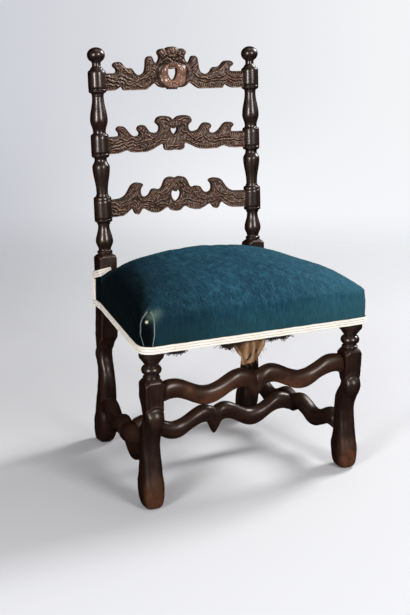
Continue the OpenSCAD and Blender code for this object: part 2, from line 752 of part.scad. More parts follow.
module front_seat_rail() {
    color(walnut) difference() {
        union() {
            translate([-front_rail_end, rail_front_y, seat_underside])
                cube([2 * front_rail_end, rail_t, rail_h]);
            front_rail_tenons();
        }
        for (side = [-1, 1]) rail_peg(side, peg_gap);
    }
}

module back_seat_rail() {
    color(walnut) {
        translate([-back_rail_end, back_rail_y, seat_underside]) cube([2 * back_rail_end, rail_t, rail_h]);
        back_rail_tenons();
    }
}

module side_seat_rail(side) {
    color(walnut) {
        mirror([side < 0 ? 1 : 0, 0, 0])
            translate([0, 0, seat_underside]) linear_extrude(rail_h)
                polygon(side_strip(rail_corner_y + joint_gap, post_front_y - joint_gap, 0, rail_t));
        side_rail_tenons(side);
    }
}

module left_seat_rail() { side_seat_rail(-1); }
module right_seat_rail() { side_seat_rail(1); }

// Upholstery

cover_out = rail_out + soft_gap + cover_t;
cover_front = rail_front_y - soft_gap - cover_t;
cover_back = back_rail_y + rail_t + soft_gap + cover_t;
wrap_out = post_out + soft_gap + cover_t;
wrap_back = post_y + post_half;
cover_low = seat_underside;
seat_mid_y = (cover_front + cover_back) / 2;
seat_half_y = (cover_back - cover_front) / 2;

// The cover's sides taper with the rails and run straight over the front legs
corner_ease = 2;
cover_taper = (cover_out - wrap_out) / (post_front_y - rail_corner_y);
cover_break_y = rail_corner_y - corner_ease / cover_taper;

// Half width of the seat at a place from front to back, less an inset
function seat_half_x(y, inset) =
    let (straight = y > post_front_y ? wrap_out : cover_out - cover_taper * (y - rail_corner_y),
         short = max(0, seat_corner_r - (y - cover_front - inset)))
    min(straight, cover_out + corner_ease) - inset
        - (seat_corner_r - sqrt(max(0, pow(seat_corner_r, 2) - pow(short, 2))));

function crown_z(x, y, inset) =
    let (u = min(1, abs(x) / seat_half_x(y, inset)),
         v = max(-1, min(1, (y - seat_mid_y) / (seat_half_y - inset))))
    seat_edge_front + (seat_edge_back - seat_edge_front) * (v + 1) / 2 - inset
        + crown_rise * power(1 - power(u, 1.7), 0.3) * power(1 - power(abs(v), 4), 0.98) * (1 + 0.35 * v);

// Half outline of the seat from the back to the front
function seat_edge(inset) =
    let (back = cover_back - inset, front = cover_front + inset, corner = seat_half_x(front + 0.01, inset))
    concat(
        [for (t = [0, 0.2, 0.39, 0.56, 0.69, 0.8, 0.89]) [t * wrap_out, back]],
        [for (t = [0 : 12])
            let (y = back - (back - front - seat_corner_r) * t / 12)
            [seat_half_x(y, inset), y]],
        [for (a = [22.5, 45, 67.5])
            let (y = front + seat_corner_r * (1 - sin(a)))
            [seat_half_x(y, inset), y]],
        [for (t = [0 : 4]) [corner * (1 - t / 5), front]],
        [[0, front]]);

function seat_ring(inset) =
    let (half = seat_edge(inset))
    concat(half, flip_x([for (i = [len(half) - 2 : -1 : 1]) half[i]]));

ring_steps = [1, 0.97, 0.92, 0.84, 0.73, 0.58, 0.4, 0.2, 0.01];

// Crowned body of the seat, down to a level
module seat_body(inset, low) {
    edge = seat_ring(inset);
    skin(concat(
        [[for (p = edge) [p.x, p.y, low]]],
        [for (s = ring_steps)
            [for (p = edge)
                let (x = p.x * s, y = seat_mid_y + (p.y - seat_mid_y) * s)
                [x, y, crown_z(x, y, inset)]]]));
}

// The square parts of both posts with a little room round them
module post_room(gap) {
    front = -post_half - gap;
    behind = post_side + 40;
    for (side = [-1, 1])
        translate([side * rear_span / 2, post_y, 0]) rotate([90, 0, 90]) translate([0, 0, front])
            linear_extrude(-2 * front)
                polygon([[front, seat_underside - 5], [behind, seat_underside - 5],
                         [behind, square_top + 25], lean_point(front, square_top + 25), lean_kink(front)]);
}

// Velvet on the outer face of each post, up to the middle of the braid there
module post_wraps() {
    top = gimp_low + post_gimp_rise - gimp_h / 2;
    for (side = [0, 1])
        mirror([side, 0, 0]) translate([wrap_out - cover_t, 0, 0]) rotate([90, 0, 90]) linear_extrude(cover_t)
            polygon([[wrap_back, cover_low], [wrap_back, top], [post_front_y, top + post_gimp_slope],
                     [post_front_y - 6, top], [post_front_y - 6, cover_low]]);
}

module velvet_cover() {
    color(velvet) difference() {
        union() {
            difference() {
                seat_body(0, cover_low);
                seat_body(cover_t, cover_low - 20);
            }
            post_wraps();
        }
        post_room(soft_gap);
    }
}

pad_low = rail_top + 2 * webbing_t + hessian_t + 2 * soft_gap;

module stuffing_pad() {
    color(hair) difference() {
        seat_body(cover_t + soft_gap, pad_low);
        post_room(soft_gap + 1);
    }
}

module webbing_strap_x(y) {
    half = side_x(y) - 6;
    translate([-half, y - webbing_w / 2, rail_top + soft_gap / 3]) cube([2 * half, webbing_w, webbing_t]);
}

module webbing_strap_y(x) {
    front = rail_front_y + 5;
    translate([x - webbing_w / 2, front, rail_top + soft_gap / 3 + webbing_t + soft_gap / 3])
        cube([webbing_w, cover_back - cover_t - 6 - front, webbing_t]);
}

strap_ys = [for (k = [0 : 3]) rail_corner_y + 34 + k * (post_front_y - rail_corner_y - 68) / 3];
strap_xs = [for (k = [-1, 0, 1]) k * 110];

module seat_webbing() {
    color(jute) {
        for (y = strap_ys) webbing_strap_x(y);
        for (x = strap_xs) webbing_strap_y(x);
    }
}

module webbing_tacks() {
    color(steel) {
        for (y = strap_ys, side = [-1, 1], k = [-1, 1])
            translate([side * (side_x(y) - 14), y + k * 16, rail_top + webbing_t + 0.2])
                cylinder(r = 3.6, h = 0.9, $fn = 16);
        for (x = strap_xs, k = [-1, 1])
            translate([x + k * 16, rail_front_y + 12, rail_top + 2 * webbing_t + 0.3])
                cylinder(r = 3.6, h = 0.9, $fn = 16);
    }
}

module seat_hessian() {
    low = rail_top + 2 * webbing_t + soft_gap;
    color(jute) difference() {
        translate([0, 0, low]) linear_extrude(hessian_t) polygon(seat_ring(cover_t + 8));
        post_room(1.5);
        for (x = strap_xs, k = [-1, 1])
            translate([x + k * 16, rail_front_y + 12, low - 1]) cylinder(r = 4.5, h = 5, $fn = 16);
    }
}

gimp_low = seat_underside - 1;

// Edge of the cover from the rear of one post round the front to the other, moved outwards
function gimp_path(out) =
    let (r = seat_corner_r + out,
         c = [seat_half_x(cover_front + seat_corner_r, 0) - seat_corner_r, cover_front + seat_corner_r])
    [[wrap_out + out, wrap_back], [wrap_out + out, post_front_y],
     [cover_out + corner_ease + out, cover_break_y],
     each [for (a = [0 : 15 : 90]) [c.x + r * cos(a), c.y - r * sin(a)]]];

module gimp_seat_run() {
    outer = gimp_path(soft_gap + gimp_t);
    inner = gimp_path(soft_gap);
    color(ivory) translate([0, 0, gimp_low]) linear_extrude(gimp_h) {
        polygon(concat(outer, flip_x(reversed(outer)), flip_x(inner), reversed(inner)));
    }
}

module gimp_back_run() {
    half = rear_span / 2 - post_half - 1;
    color(ivory) translate([-half, cover_back + soft_gap, gimp_low]) cube([2 * half, gimp_t, gimp_h]);
}

// Braid up the rear edge of the post's outer face, across the top of the velvet there and
// round on to the post's front, where the crown hides its end
module gimp_post(side) {
    low = gimp_low + gimp_h + soft_gap;
    top = gimp_low + post_gimp_rise;
    front = post_front_y - soft_gap - gimp_t;
    turn = top + post_gimp_slope;
    outer = wrap_out + soft_gap + gimp_t;
    color(ivory) mirror([side < 0 ? 1 : 0, 0, 0]) {
        translate([wrap_out + soft_gap, 0, 0]) rotate([90, 0, 90]) linear_extrude(gimp_t)
            polygon([[wrap_back - gimp_h, low], [wrap_back, low], [wrap_back, top], [front, turn],
                     [front, turn - gimp_h],
                     [wrap_back - gimp_h, top - gimp_h + post_gimp_slope * gimp_h / (wrap_back - front)]]);
        translate([0, front + gimp_t, 0]) rotate([90, 0, 0]) linear_extrude(gimp_t)
            polygon([[outer, turn - gimp_h], [outer, turn], [outer - 28, turn + 3], [outer - 28, turn - 3],
                     [outer - 19, turn - 10], [outer - 9, turn - gimp_h]]);
    }
}

module gimp_left_post() { gimp_post(-1); }
module gimp_right_post() { gimp_post(1); }

// Torn cloth and stuffing that still hang from tacks under the front rail
flap_y = rail_front_y + 12;
flap_top = seat_underside - soft_gap / 2;

// The rags are drawn for this much room between the rail and the stretcher's crests
drawn_room = 72;
hang = (seat_underside - front_stretcher_z - front_wave - stretcher_h / 2) / drawn_room;
leg_shift = front_span / 2 - 256;

// Upright rag of an outline in X and depth below the rail
module rag(outline, y, thick) {
    translate([0, y + thick / 2, flap_top]) rotate([90, 0, 0]) linear_extrude(thick)
        polygon([for (p = outline) [p.x, p.y * hang]]);
}

module torn_hessian() {
    color(jute) difference() {
        rag([[-80, 0], [-86, -12], [-72, -22], [-66, -15], [-52, -33], [-42, -46], [-45, -54], [-38, -62],
             [-24, -58], [-7, -52], [3, -45], [10, -30], [14, -21], [18, 0]], flap_y, flap_t);
        rag([[-31, -44], [-25, -49], [-20, -45], [-22, -39], [-28, -38]], flap_y, flap_t + 2);
        rag([[-13, -34], [-7, -38], [-3, -34], [-5, -28], [-10, -29]], flap_y, flap_t + 2);
    }
}

module hair_scraps() {
    color(hair) {
        rag([[20, 0], [22, -18], [31, -22], [40, -14], [52, -17], [61, -10], [72, -11], [78, 0]],
            flap_y + 6, 3);
        translate([-leg_shift, 0, 0])
            rag([[-228, 0], [-224, -12], [-214, -19], [-203, -15], [-195, -20], [-184, -12], [-180, 0]],
                flap_y + 3, 3);
    }
}

module flap_tacks() {
    color(steel) for (x = [-62, -20, 12, 33])
        translate([x, flap_y - 4.6, seat_underside - 1.2]) cylinder(r = 3, h = 1, $fn = 16);
}

// Pegs

module slat_pegs() {
    color(walnut) on_lean() for (side = [-1, 1], at = [lower_at, middle_at, crest_at]) slat_peg(side, at);
}

module stretcher_pegs() {
    color(walnut) for (side = [-1, 1]) {
        front_stretcher_peg(side);
        for (end = [-1, 1]) side_stretcher_peg(side, end);
    }
}

module rail_pegs() {
    color(walnut) for (side = [-1, 1]) rail_peg(side);
}

left_back_post();
right_back_post();
crest_slat();
middle_slat();
lower_slat();
left_front_leg();
right_front_leg();
front_stretcher();
left_side_stretcher();
right_side_stretcher();
cross_stretcher();
front_seat_rail();
back_seat_rail();
left_seat_rail();
right_seat_rail();
seat_webbing();
webbing_tacks();
seat_hessian();
stuffing_pad();
velvet_cover();
gimp_seat_run();
gimp_back_run();
gimp_left_post();
gimp_right_post();
torn_hessian();
hair_scraps();
flap_tacks();
slat_pegs();
stretcher_pegs();
rail_pegs();
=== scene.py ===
import math

import bmesh
import bpy
import numpy as np
from mathutils import Matrix, Vector, kdtree


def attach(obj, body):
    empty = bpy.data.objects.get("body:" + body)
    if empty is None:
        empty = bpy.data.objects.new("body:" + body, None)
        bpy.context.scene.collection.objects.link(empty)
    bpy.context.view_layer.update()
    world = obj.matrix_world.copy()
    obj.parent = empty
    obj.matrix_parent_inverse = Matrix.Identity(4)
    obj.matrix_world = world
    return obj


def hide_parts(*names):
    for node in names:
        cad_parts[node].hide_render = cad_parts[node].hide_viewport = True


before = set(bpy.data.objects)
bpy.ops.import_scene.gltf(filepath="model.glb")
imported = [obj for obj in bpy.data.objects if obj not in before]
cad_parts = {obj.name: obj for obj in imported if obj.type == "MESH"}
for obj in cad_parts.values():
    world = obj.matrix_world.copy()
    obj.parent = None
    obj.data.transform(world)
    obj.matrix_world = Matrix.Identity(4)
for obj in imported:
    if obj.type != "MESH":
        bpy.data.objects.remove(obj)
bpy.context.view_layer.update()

mm = 0.001
print("frame loaded:", len(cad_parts), "nodes")

# The chair's main lines in millimetres, front towards -Y and floor at Z 0
chair = {
    "legX": 256, "legY": -212, "legHalf": 22.5, "frontBlockLow": 258, "frontBlockTop": 304,
    "postX": 206, "postY": 167, "postHalf": 22.5, "rearBlockLow": 287,
    "splayStart": 352, "rearSplay": 32, "leanStart": 430, "squareUp": 66, "lean": 4.3,
}
sides = ((-1, "left"), (1, "right"))
leanSin, leanCos = math.sin(math.radians(chair["lean"])), math.cos(math.radians(chair["lean"]))


def stacked(*parts):
    # one array of points from their parts, with single numbers repeated
    return np.stack(np.broadcast_arrays(*parts), -1)


def leanPoint(x, y, z):
    # from the leaning post's own frame, with its square's top at zero, to the chair's
    up = z + chair["squareUp"]
    return stacked(x, chair["postY"] + y * leanCos + up * leanSin,
                   chair["leanStart"] - y * leanSin + up * leanCos)


# Camera

shot = {
    "place": (-1.136484, -2.189182, 1.052151),
    "right": (0.89159965, -0.45277572, 0.00664882),
    "up": (0.11377884, 0.23821535, 0.96452466),
    "lens": 62.156, "sensor": 36, "reach": 60,
}


def placeCamera():
    bpy.ops.object.camera_add()
    camera = bpy.context.object
    camera.name = "camera"
    camera.data.lens = shot["lens"]
    camera.data.sensor_width = shot["sensor"]
    camera.data.clip_end = shot["reach"]
    right, up = Vector(shot["right"]), Vector(shot["up"])
    turn = Matrix((right, up, right.cross(up))).transposed().to_4x4()
    camera.matrix_world = Matrix.Translation(shot["place"]) @ turn
    bpy.context.scene.camera = camera


placeCamera()
print("camera placed")


# Modelling helpers

def letGo():
    if bpy.context.object and bpy.context.object.mode != "OBJECT":
        bpy.ops.object.mode_set(mode="OBJECT")
    bpy.ops.object.select_all(action="DESELECT")


def hold(*pieces):
    letGo()
    for piece in pieces:
        piece.select_set(True)
    bpy.context.view_layer.objects.active = pieces[0]


def editAll(piece):
    hold(piece)
    bpy.ops.object.mode_set(mode="EDIT")
    bpy.ops.mesh.select_all(action="SELECT")


def leaveFacingOut():
    bpy.ops.mesh.select_all(action="SELECT")
    bpy.ops.mesh.normals_make_consistent(inside=False)
    bpy.ops.object.mode_set(mode="OBJECT")


def named(name):
    piece = bpy.context.object
    piece.name = piece.data.name = name
    return piece


def applyModifier(piece, kind, **settings):
    hold(piece)
    modifier = piece.modifiers.new("shape", kind)
    for key, value in settings.items():
        setattr(modifier, key, value)
    bpy.ops.object.modifier_apply(modifier=modifier.name)


def cutOut(piece, cutter):
    applyModifier(piece, "BOOLEAN", operation="DIFFERENCE", solver="EXACT", object=cutter)
    hold(cutter)
    bpy.ops.object.delete()


def remeshed(piece, voxel, smooth=1):
    applyModifier(piece, "REMESH", mode="VOXEL", voxel_size=voxel * mm, adaptivity=0)
    if smooth:
        applyModifier(piece, "SMOOTH", factor=0.5, iterations=smooth)


def reading(piece, key):
    flat = np.empty(len(piece.data.vertices) * 3)
    piece.data.vertices.foreach_get(key, flat)
    return flat.reshape(-1, 3)


def corners(piece):
    return reading(piece, "co") / mm


def setCorners(piece, points):
    piece.data.vertices.foreach_set("co", (points * mm).ravel())
    piece.data.update()


def pushOut(piece, offsets):
    # moves each corner along its normal by an amount in millimetres
    setCorners(piece, corners(piece) + reading(piece, "normal") * offsets[:, None])


def keep(piece, name, values):
    # a number for each corner, which a finish reads
    kept = piece.data.attributes.get(name) or piece.data.attributes.new(name, "FLOAT", "POINT")
    kept.data.foreach_set("value", np.asarray(values, dtype=np.float32))


def kept(piece, name):
    values = np.empty(len(piece.data.vertices), dtype=np.float32)
    piece.data.attributes[name].data.foreach_get("value", values)
    return values


def drawnLine(name, points):
    # one corner, extruded from point to point, and left in edit mode with all of it selected
    letGo()
    bpy.ops.mesh.primitive_plane_add(size=mm)
    piece = named(name)
    editAll(piece)
    bpy.ops.mesh.merge(type="CENTER")
    bpy.ops.transform.translate(value=points[0] * mm)
    for step in np.diff(points, axis=0):
        bpy.ops.mesh.extrude_vertices_move(TRANSFORM_OT_translate={"value": step * mm})
    bpy.ops.mesh.select_all(action="SELECT")
    return piece


def growRings(name, rings):
    # a circle, shaped to the first ring and extruded through the others, closed at both ends
    letGo()
    count = len(rings[0])
    bpy.ops.mesh.primitive_circle_add(vertices=count, radius=mm, fill_type="NOTHING")
    piece = named(name)
    side = piece.data.attributes.new("side", "INT", "POINT")
    side.data.foreach_set("value", np.arange(count, dtype=np.int32))
    editAll(piece)
    for k, ring in enumerate(rings):
        if k:
            bpy.ops.mesh.extrude_edges_move()
        mesh = bmesh.from_edit_mesh(piece.data)
        sideLayer = mesh.verts.layers.int["side"]
        for corner in mesh.verts:
            if corner.select:
                corner.co = ring[corner[sideLayer]] * mm
        if k in (0, len(rings) - 1):
            bpy.ops.mesh.edge_face_add()
        if k == 0:
            for face in mesh.faces:
                face.select = False
            for edge in mesh.edges:
                edge.select = len(edge.link_faces) <= 1
        bmesh.update_edit_mesh(piece.data)
    leaveFacingOut()
    return piece


def shapedGrid(name, points):
    # a grid laid over rows of points, each row closed on itself, with both ends closed
    rows, across = points.shape[:2]
    letGo()
    bpy.ops.mesh.primitive_grid_add(x_subdivisions=rows - 1, y_subdivisions=across, size=2)
    piece = named(name)
    unit = (corners(piece) * mm + 1) / 2
    i = np.rint(unit[:, 0] * (rows - 1)).astype(int)
    j = np.rint(unit[:, 1] * across).astype(int) % across
    setCorners(piece, points[i, j])
    keep(piece, "row", i)
    keep(piece, "column", j)
    editAll(piece)
    bpy.ops.mesh.remove_doubles(threshold=0.00001)
    bpy.ops.mesh.fill_holes(sides=0)
    leaveFacingOut()
    return piece


def superRound(count, power):
    # unit points of a superellipse, from a circle at 2 towards a square
    turn = 2 * np.pi * (np.arange(count) + 0.5) / count
    c, s = np.cos(turn), np.sin(turn)
    return np.sign(c) * np.abs(c) ** (2 / power), np.sign(s) * np.abs(s) ** (2 / power)


def waves(points, seed, size):
    # soft made-by-hand unevenness: a few fixed sine waves in random directions
    draw = np.random.default_rng(seed)
    total = np.zeros(len(points))
    for k in range(9):
        way = draw.normal(size=3)
        way *= 2 * np.pi / (size * draw.uniform(0.7, 1.6)) / np.linalg.norm(way)
        total += np.sin(points @ way + draw.uniform(0, 2 * np.pi))
    return total / 3


def valley(distance, half):
    return np.exp(-(distance / half) ** 2)


def lengthOf(steps):
    return np.sqrt((steps ** 2).sum(1))


def evenly(points, step):
    # points a step apart along a line, their distance from its start and its direction there
    points = np.asarray(points, float)
    at = np.concatenate([[0], np.cumsum(lengthOf(np.diff(points, axis=0)))])
    run = np.linspace(0, at[-1], max(2, int(round(at[-1] / step)) + 1))
    even = stacked(*[np.interp(run, at, part) for part in points.T])
    way = np.gradient(even, axis=0)
    return even, run, way / np.maximum(lengthOf(way), 1e-9)[:, None]


def softened(points, rounds=2):
    # a smooth open line through the points, given as x, z, x, z and so on
    points = np.array(points, float).reshape(-1, 2)
    for _ in range(rounds):
        before = np.vstack([points[:1], points[:-1]])
        after = np.vstack([points[1:], points[-1:]])
        beyond = np.vstack([points[2:], points[-1:], points[-1:]])
        between = (9 * (points + after) - (before + beyond)) / 16
        points = np.stack([points, between], 1).reshape(-1, 2)[:-1]
    return points


def lineGap(line, x, z):
    # distance to a soft line
    points = evenly(softened(line), 0.8)[0]
    return np.sqrt(((x[:, None] - points[:, 0]) ** 2 + (z[:, None] - points[:, 1]) ** 2).min(1))


def nearest(samples, points):
    # each point's distance to the nearest sample, and which one that is
    tree = kdtree.KDTree(len(samples))
    for i, p in enumerate(samples):
        tree.insert((*p, 0)[:3], i)
    tree.balance()
    found = [tree.find((*p, 0)[:3]) for p in points]
    return np.array([f[2] for f in found]), np.array([f[1] for f in found])


def dress(piece, material, slotName, *nodes, angle=180):
    # its place goes into the mesh; then its body, shading, finish and the nodes it stands for
    hold(piece)
    bpy.ops.object.transform_apply(location=True, rotation=True, scale=True)
    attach(piece, "root")
    if angle == 180:
        bpy.ops.object.shade_smooth()
    elif angle:
        bpy.ops.object.shade_smooth_by_angle(angle=math.radians(angle))
    piece.data.materials.clear()
    piece.data.materials.append(material)
    if nodes:
        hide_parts(*nodes)


wearing = {"rounds": 6, "least": 0.3, "gain": 4}


def woodPiece(piece, material, node, angle=180):
    # keeps how sharply each corner stands out of its softened neighbourhood, for the finish
    dress(piece, material, "walnut", node, angle=angle)
    mesh = piece.data
    edges = np.empty(len(mesh.edges) * 2, dtype=np.int32)
    mesh.edges.foreach_get("vertices", edges)
    a, b = edges.reshape(-1, 2).T
    points = corners(piece)
    count, rounds = len(points), wearing["rounds"]
    links = np.maximum(np.bincount(a, minlength=count) + np.bincount(b, minlength=count), 1)
    square = ((points[a] - points[b]) ** 2).sum(1)
    reach = (np.bincount(a, square, count) + np.bincount(b, square, count)) / links
    soft = points.copy()
    for _ in range(rounds):
        soft = stacked(*[np.bincount(a, part[b], count) + np.bincount(b, part[a], count)
                         for part in soft.T]) / links[:, None]
    out = ((points - soft) * reading(piece, "normal")).sum(1)
    keep(piece, "wear_and_shading", wearing["gain"] * out / (rounds * np.maximum(reach, wearing["least"])))


# Shader maths

def tone(code):
    # a colour as screens show it, made linear
    parts = [int(code[i:i + 2], 16) / 255 for i in (1, 3, 5)]
    return tuple(p / 12.92 if p <= 0.04045 else ((p + 0.055) / 1.055) ** 2.4 for p in parts) + (1,)


def mathsStep(operation, swapped=False):
    return lambda self, *others: self.maths(operation, *((*others, self) if swapped else (self, *others)))


class Link:
    def __init__(self, finish, socket):
        self.finish, self.socket = finish, socket

    def maths(self, operation, *values):
        return self.finish.node("ShaderNodeMath", {"operation": operation}, dict(enumerate(values)))

    def between(self, low, high):
        # 0 below low, 1 above high, smooth between them
        settings = {"interpolation_type": "SMOOTHSTEP"}
        return self.finish.node("ShaderNodeMapRange", settings, {0: self, 1: low, 2: high, 3: 0.0, 4: 1.0})

    __add__, __radd__ = mathsStep("ADD"), mathsStep("ADD", True)
    __sub__, __rsub__ = mathsStep("SUBTRACT"), mathsStep("SUBTRACT", True)
    __mul__, __rmul__ = mathsStep("MULTIPLY"), mathsStep("MULTIPLY", True)
    __pow__, least = mathsStep("POWER"), mathsStep("MINIMUM")
    sine, absolute = mathsStep("SINE"), mathsStep("ABSOLUTE")


class Finish:
    def __init__(self, name, **constants):
        self.material = bpy.data.materials.new(name)
        self.material.use_nodes = True
        self.tree = self.material.node_tree
        self.shader = self.tree.nodes["Principled BSDF"]
        for key, value in constants.items():
            self.shader.inputs[key.replace("_", " ")].default_value = value

    def node(self, kind, settings=None, inputs=None, output=0):
        made = self.tree.nodes.new(kind)
        for key, value in (settings or {}).items():
            setattr(made, key, value)
        for key, value in (inputs or {}).items():
            if isinstance(value, Link):
                self.tree.links.new(value.socket, made.inputs[key])
            else:
                made.inputs[key].default_value = value
        return Link(self, made.outputs[output])

    def place(self, scale=(1, 1, 1), shift=(0, 0, 0)):
        spot = self.node("ShaderNodeTexCoord", output="Object")
        return self.node("ShaderNodeMapping", None, {"Vector": spot, "Scale": scale, "Location": shift})

    def noise(self, scale, detail=4.0, rough=0.55, where=None):
        inputs = {"Vector": where or self.place(), "Scale": scale, "Detail": detail, "Roughness": rough}
        return self.node("ShaderNodeTexNoise", None, inputs)

    def carried(self, name):
        return self.node("ShaderNodeAttribute", {"attribute_name": name}, output="Fac")

    def mix(self, share, a, b):
        return self.node("ShaderNodeMix", {"data_type": "RGBA"}, {0: share, 6: a, 7: b}, 2)

    def layers(self, base, *coats):
        # colours laid one over the other, each with the share of it that shows
        colour = tone(base)
        for share, code in coats:
            colour = self.mix(share, colour, tone(code))
        return colour

    def split(self, vector, part):
        return self.node("ShaderNodeSeparateXYZ", None, {0: vector}, part)

    def bump(self, height, distance, strength=1.0):
        inputs = {"Height": height, "Distance": distance, "Strength": strength}
        return self.node("ShaderNodeBump", None, inputs)

    def feed(self, **links):
        for key, link in links.items():
            self.tree.links.new(link.socket, self.shader.inputs[key.replace("_", " ")])
        return self.material


walnut = {
    "deep": "#150b08", "body": "#2d1a13", "warm": "#502c1e", "worn": "#855333", "bare": "#6c4026", "dust": "#0b0604",
    "roughness": 0.34, "coatRoughness": 0.16, "poreDepth": 0.00004, "level": 0.7, "tint": (1.0, 0.84, 0.74, 1.0),
    "along": 7.0, "over": 150.0,
}


def walnutFinish(name, grain, warmth=0.0, wearFrom=0.14, wearTo=0.5, seed=0, gloss=0.0, coat=0.25):
    # grain is the axis that the fibres follow
    finish = Finish(name, Specular_IOR_Level=walnut["level"], Specular_Tint=walnut["tint"],
                    Coat_Roughness=walnut["coatRoughness"])
    long = [walnut["along" if axis == grain else "over"] for axis in "XYZ"]
    fibres = finish.place(long, (seed * 0.37, seed * 0.61, seed * 0.23))
    figure = finish.noise(0.35, 5.0, 0.6, fibres)
    streaks = finish.noise(1.1, 6.0, 0.7, fibres)
    pores = finish.noise(4.0, 2.0, 0.5, fibres).between(0.6, 0.68)
    cloud = finish.noise(9.0)
    wear_and_shading = finish.carried("wear_and_shading")
    hollow = (0 - wear_and_shading).between(0.04, 0.35)
    bare = finish.carried("rub") * (finish.noise(55.0, 4.0, 0.65).between(0.3, 0.7) + 0.35)
    colour = finish.layers(
        walnut["deep"],
        (figure.between(0.3, 0.7), walnut["body"]),
        ((streaks.between(0.45, 0.75) * 0.5 + warmth).least(1.0), walnut["warm"]),
        ((wear_and_shading.between(wearFrom, wearTo) * (cloud * 1.3 + 0.1)).least(1.0), walnut["worn"]),
        (bare.least(0.85) * 0.8, walnut["bare"]),
        ((pores * 0.5 + hollow * 0.85).least(1.0), walnut["dust"]))
    rough = walnut["roughness"] - gloss + cloud * 0.12 + hollow * 0.3 + pores * 0.1
    height = figure * 0.3 + streaks * 0.5 - pores * 0.6
    return finish.feed(Base_Color=colour, Roughness=rough.least(0.9), Coat_Weight=coat - hollow * coat,
                       Normal=finish.bump(height, walnut["poreDepth"]))


uprightWalnut = walnutFinish("walnut upright", "Z", seed=1)
turnedWalnut = walnutFinish("walnut turned", "Z", wearFrom=2.0, wearTo=9.0, seed=5, gloss=0.02, coat=0.8)
acrossWalnut = walnutFinish("walnut across", "X", warmth=0.12, seed=2)
sideWalnut = walnutFinish("walnut fore and aft", "Y", seed=3)
print("walnut finishes made")


# Turned parts

def eased(keys, steps=8, short=2.6):
    # points through [height, radius] keys, each stretch eased into the next
    points = []
    for (z0, r0), (z1, r1) in zip(keys, keys[1:]):
        count = 1 if abs(z1 - z0) < short else steps
        for k in range(count):
            t = k / count
            points.append((r0 + (r1 - r0) * (1 - math.cos(math.pi * t)) / 2, z0 + (z1 - z0) * t))
    points.append((keys[-1][1], keys[-1][0]))
    return points


def beadPoints(radius, height, middle, low, high, count):
    turn = np.radians(np.linspace(low, high, count))
    return list(zip(radius * np.cos(turn), middle + height / 2 * np.sin(turn)))


def groove(height, radius, depth=1.1, half=1.1):
    return [[height - half, radius], [height, radius - depth], [height + half, radius]]


turned = {
    "post": [
        [-18, 16], [0, 17], [2, 18.2], [6.5, 18.2], [8, 15.4], [9.5, 14.8], [30, 21], [67, 13.8], [70, 13.8],
        [71.5, 15.6], [74, 15.6], [80, 21.4], *groove(84.5, 21.6), *groove(130, 21.6), [134, 21.4], [136, 20.6],
        [140, 15.6], [143, 15.2], [144.5, 13.8], [150, 14], [209, 21], [226, 14.6], [229, 14.8], [234, 21],
        *groove(240.2, 21.6), *groove(280.5, 21.6, 0.5), [283, 21.4], [285, 20.4], [288.5, 15.6], [292, 15.2],
        [319, 21], [373, 13.8], [377, 14.2], [380, 14.6], [385, 21], *groove(391.4, 21.6), [430.5, 21.6],
        [433, 20.2], [437, 15.4], [445, 10.6], [450, 10.4], [452.6, 10.9]],
    "finial": (21.2, 36.5, 469.5, -58, 90, 22),
    "foot": [[298, 16], [303.5, 16], [304.5, 18.6], [306, 19.2], [307.5, 18.6], [309, 15.4]],
    "bead": (22.3, 29, 322.5, -48, 48, 18),
    "cup": [[335.2, 15.2], [337, 16.8], [338.5, 18], [345, 22], [350, 26.4], [351.5, 26.6], [353, 27.5],
            [364.5, 27.5]],
    "steps": 56, "uneven": 0.08, "unevenSize": 70,
}


def makeTurning(name, node, outline, place, axis, seed):
    # spun round the axis; place turns a radius and a height into a point of the chair
    if outline[-1][0] > 0.01:
        outline.append(outline[-1])
    outline = [(0.0, outline[0][1]), *outline[:-1], (0.0, outline[-1][1])]
    radius, height = np.array(outline).T
    piece = drawnLine(name, place(radius, height))
    bpy.ops.mesh.spin(steps=turned["steps"], angle=2 * math.pi, center=place(0.0, 0.0) * mm, axis=axis)
    bpy.ops.mesh.select_all(action="SELECT")
    bpy.ops.mesh.remove_doubles(threshold=0.00002)
    leaveFacingOut()
    if seed:
        pushOut(piece, turned["uneven"] * waves(corners(piece), seed, turned["unevenSize"]))
    woodPiece(piece, turnedWalnut, node, angle=50)


for side, sideName in sides:
    makeTurning(f"{sideName}_post_turning", f"{sideName}_back_post",
                eased(turned["post"]) + beadPoints(*turned["finial"]),
                lambda r, z: leanPoint(side * chair["postX"] + r, 0, z), (0, leanSin, leanCos), 5 + side)
    makeTurning(f"{sideName}_leg_turning", f"{sideName}_front_leg",
                eased(turned["foot"]) + beadPoints(*turned["bead"]) + eased(turned["cup"]),
                lambda r, z: stacked(side * chair["legX"] + r, chair["legY"], z), (0, 0, 1), 0)
print("turned parts made")


# Scrolled legs: share of the block's height, outward and inward reach, half width

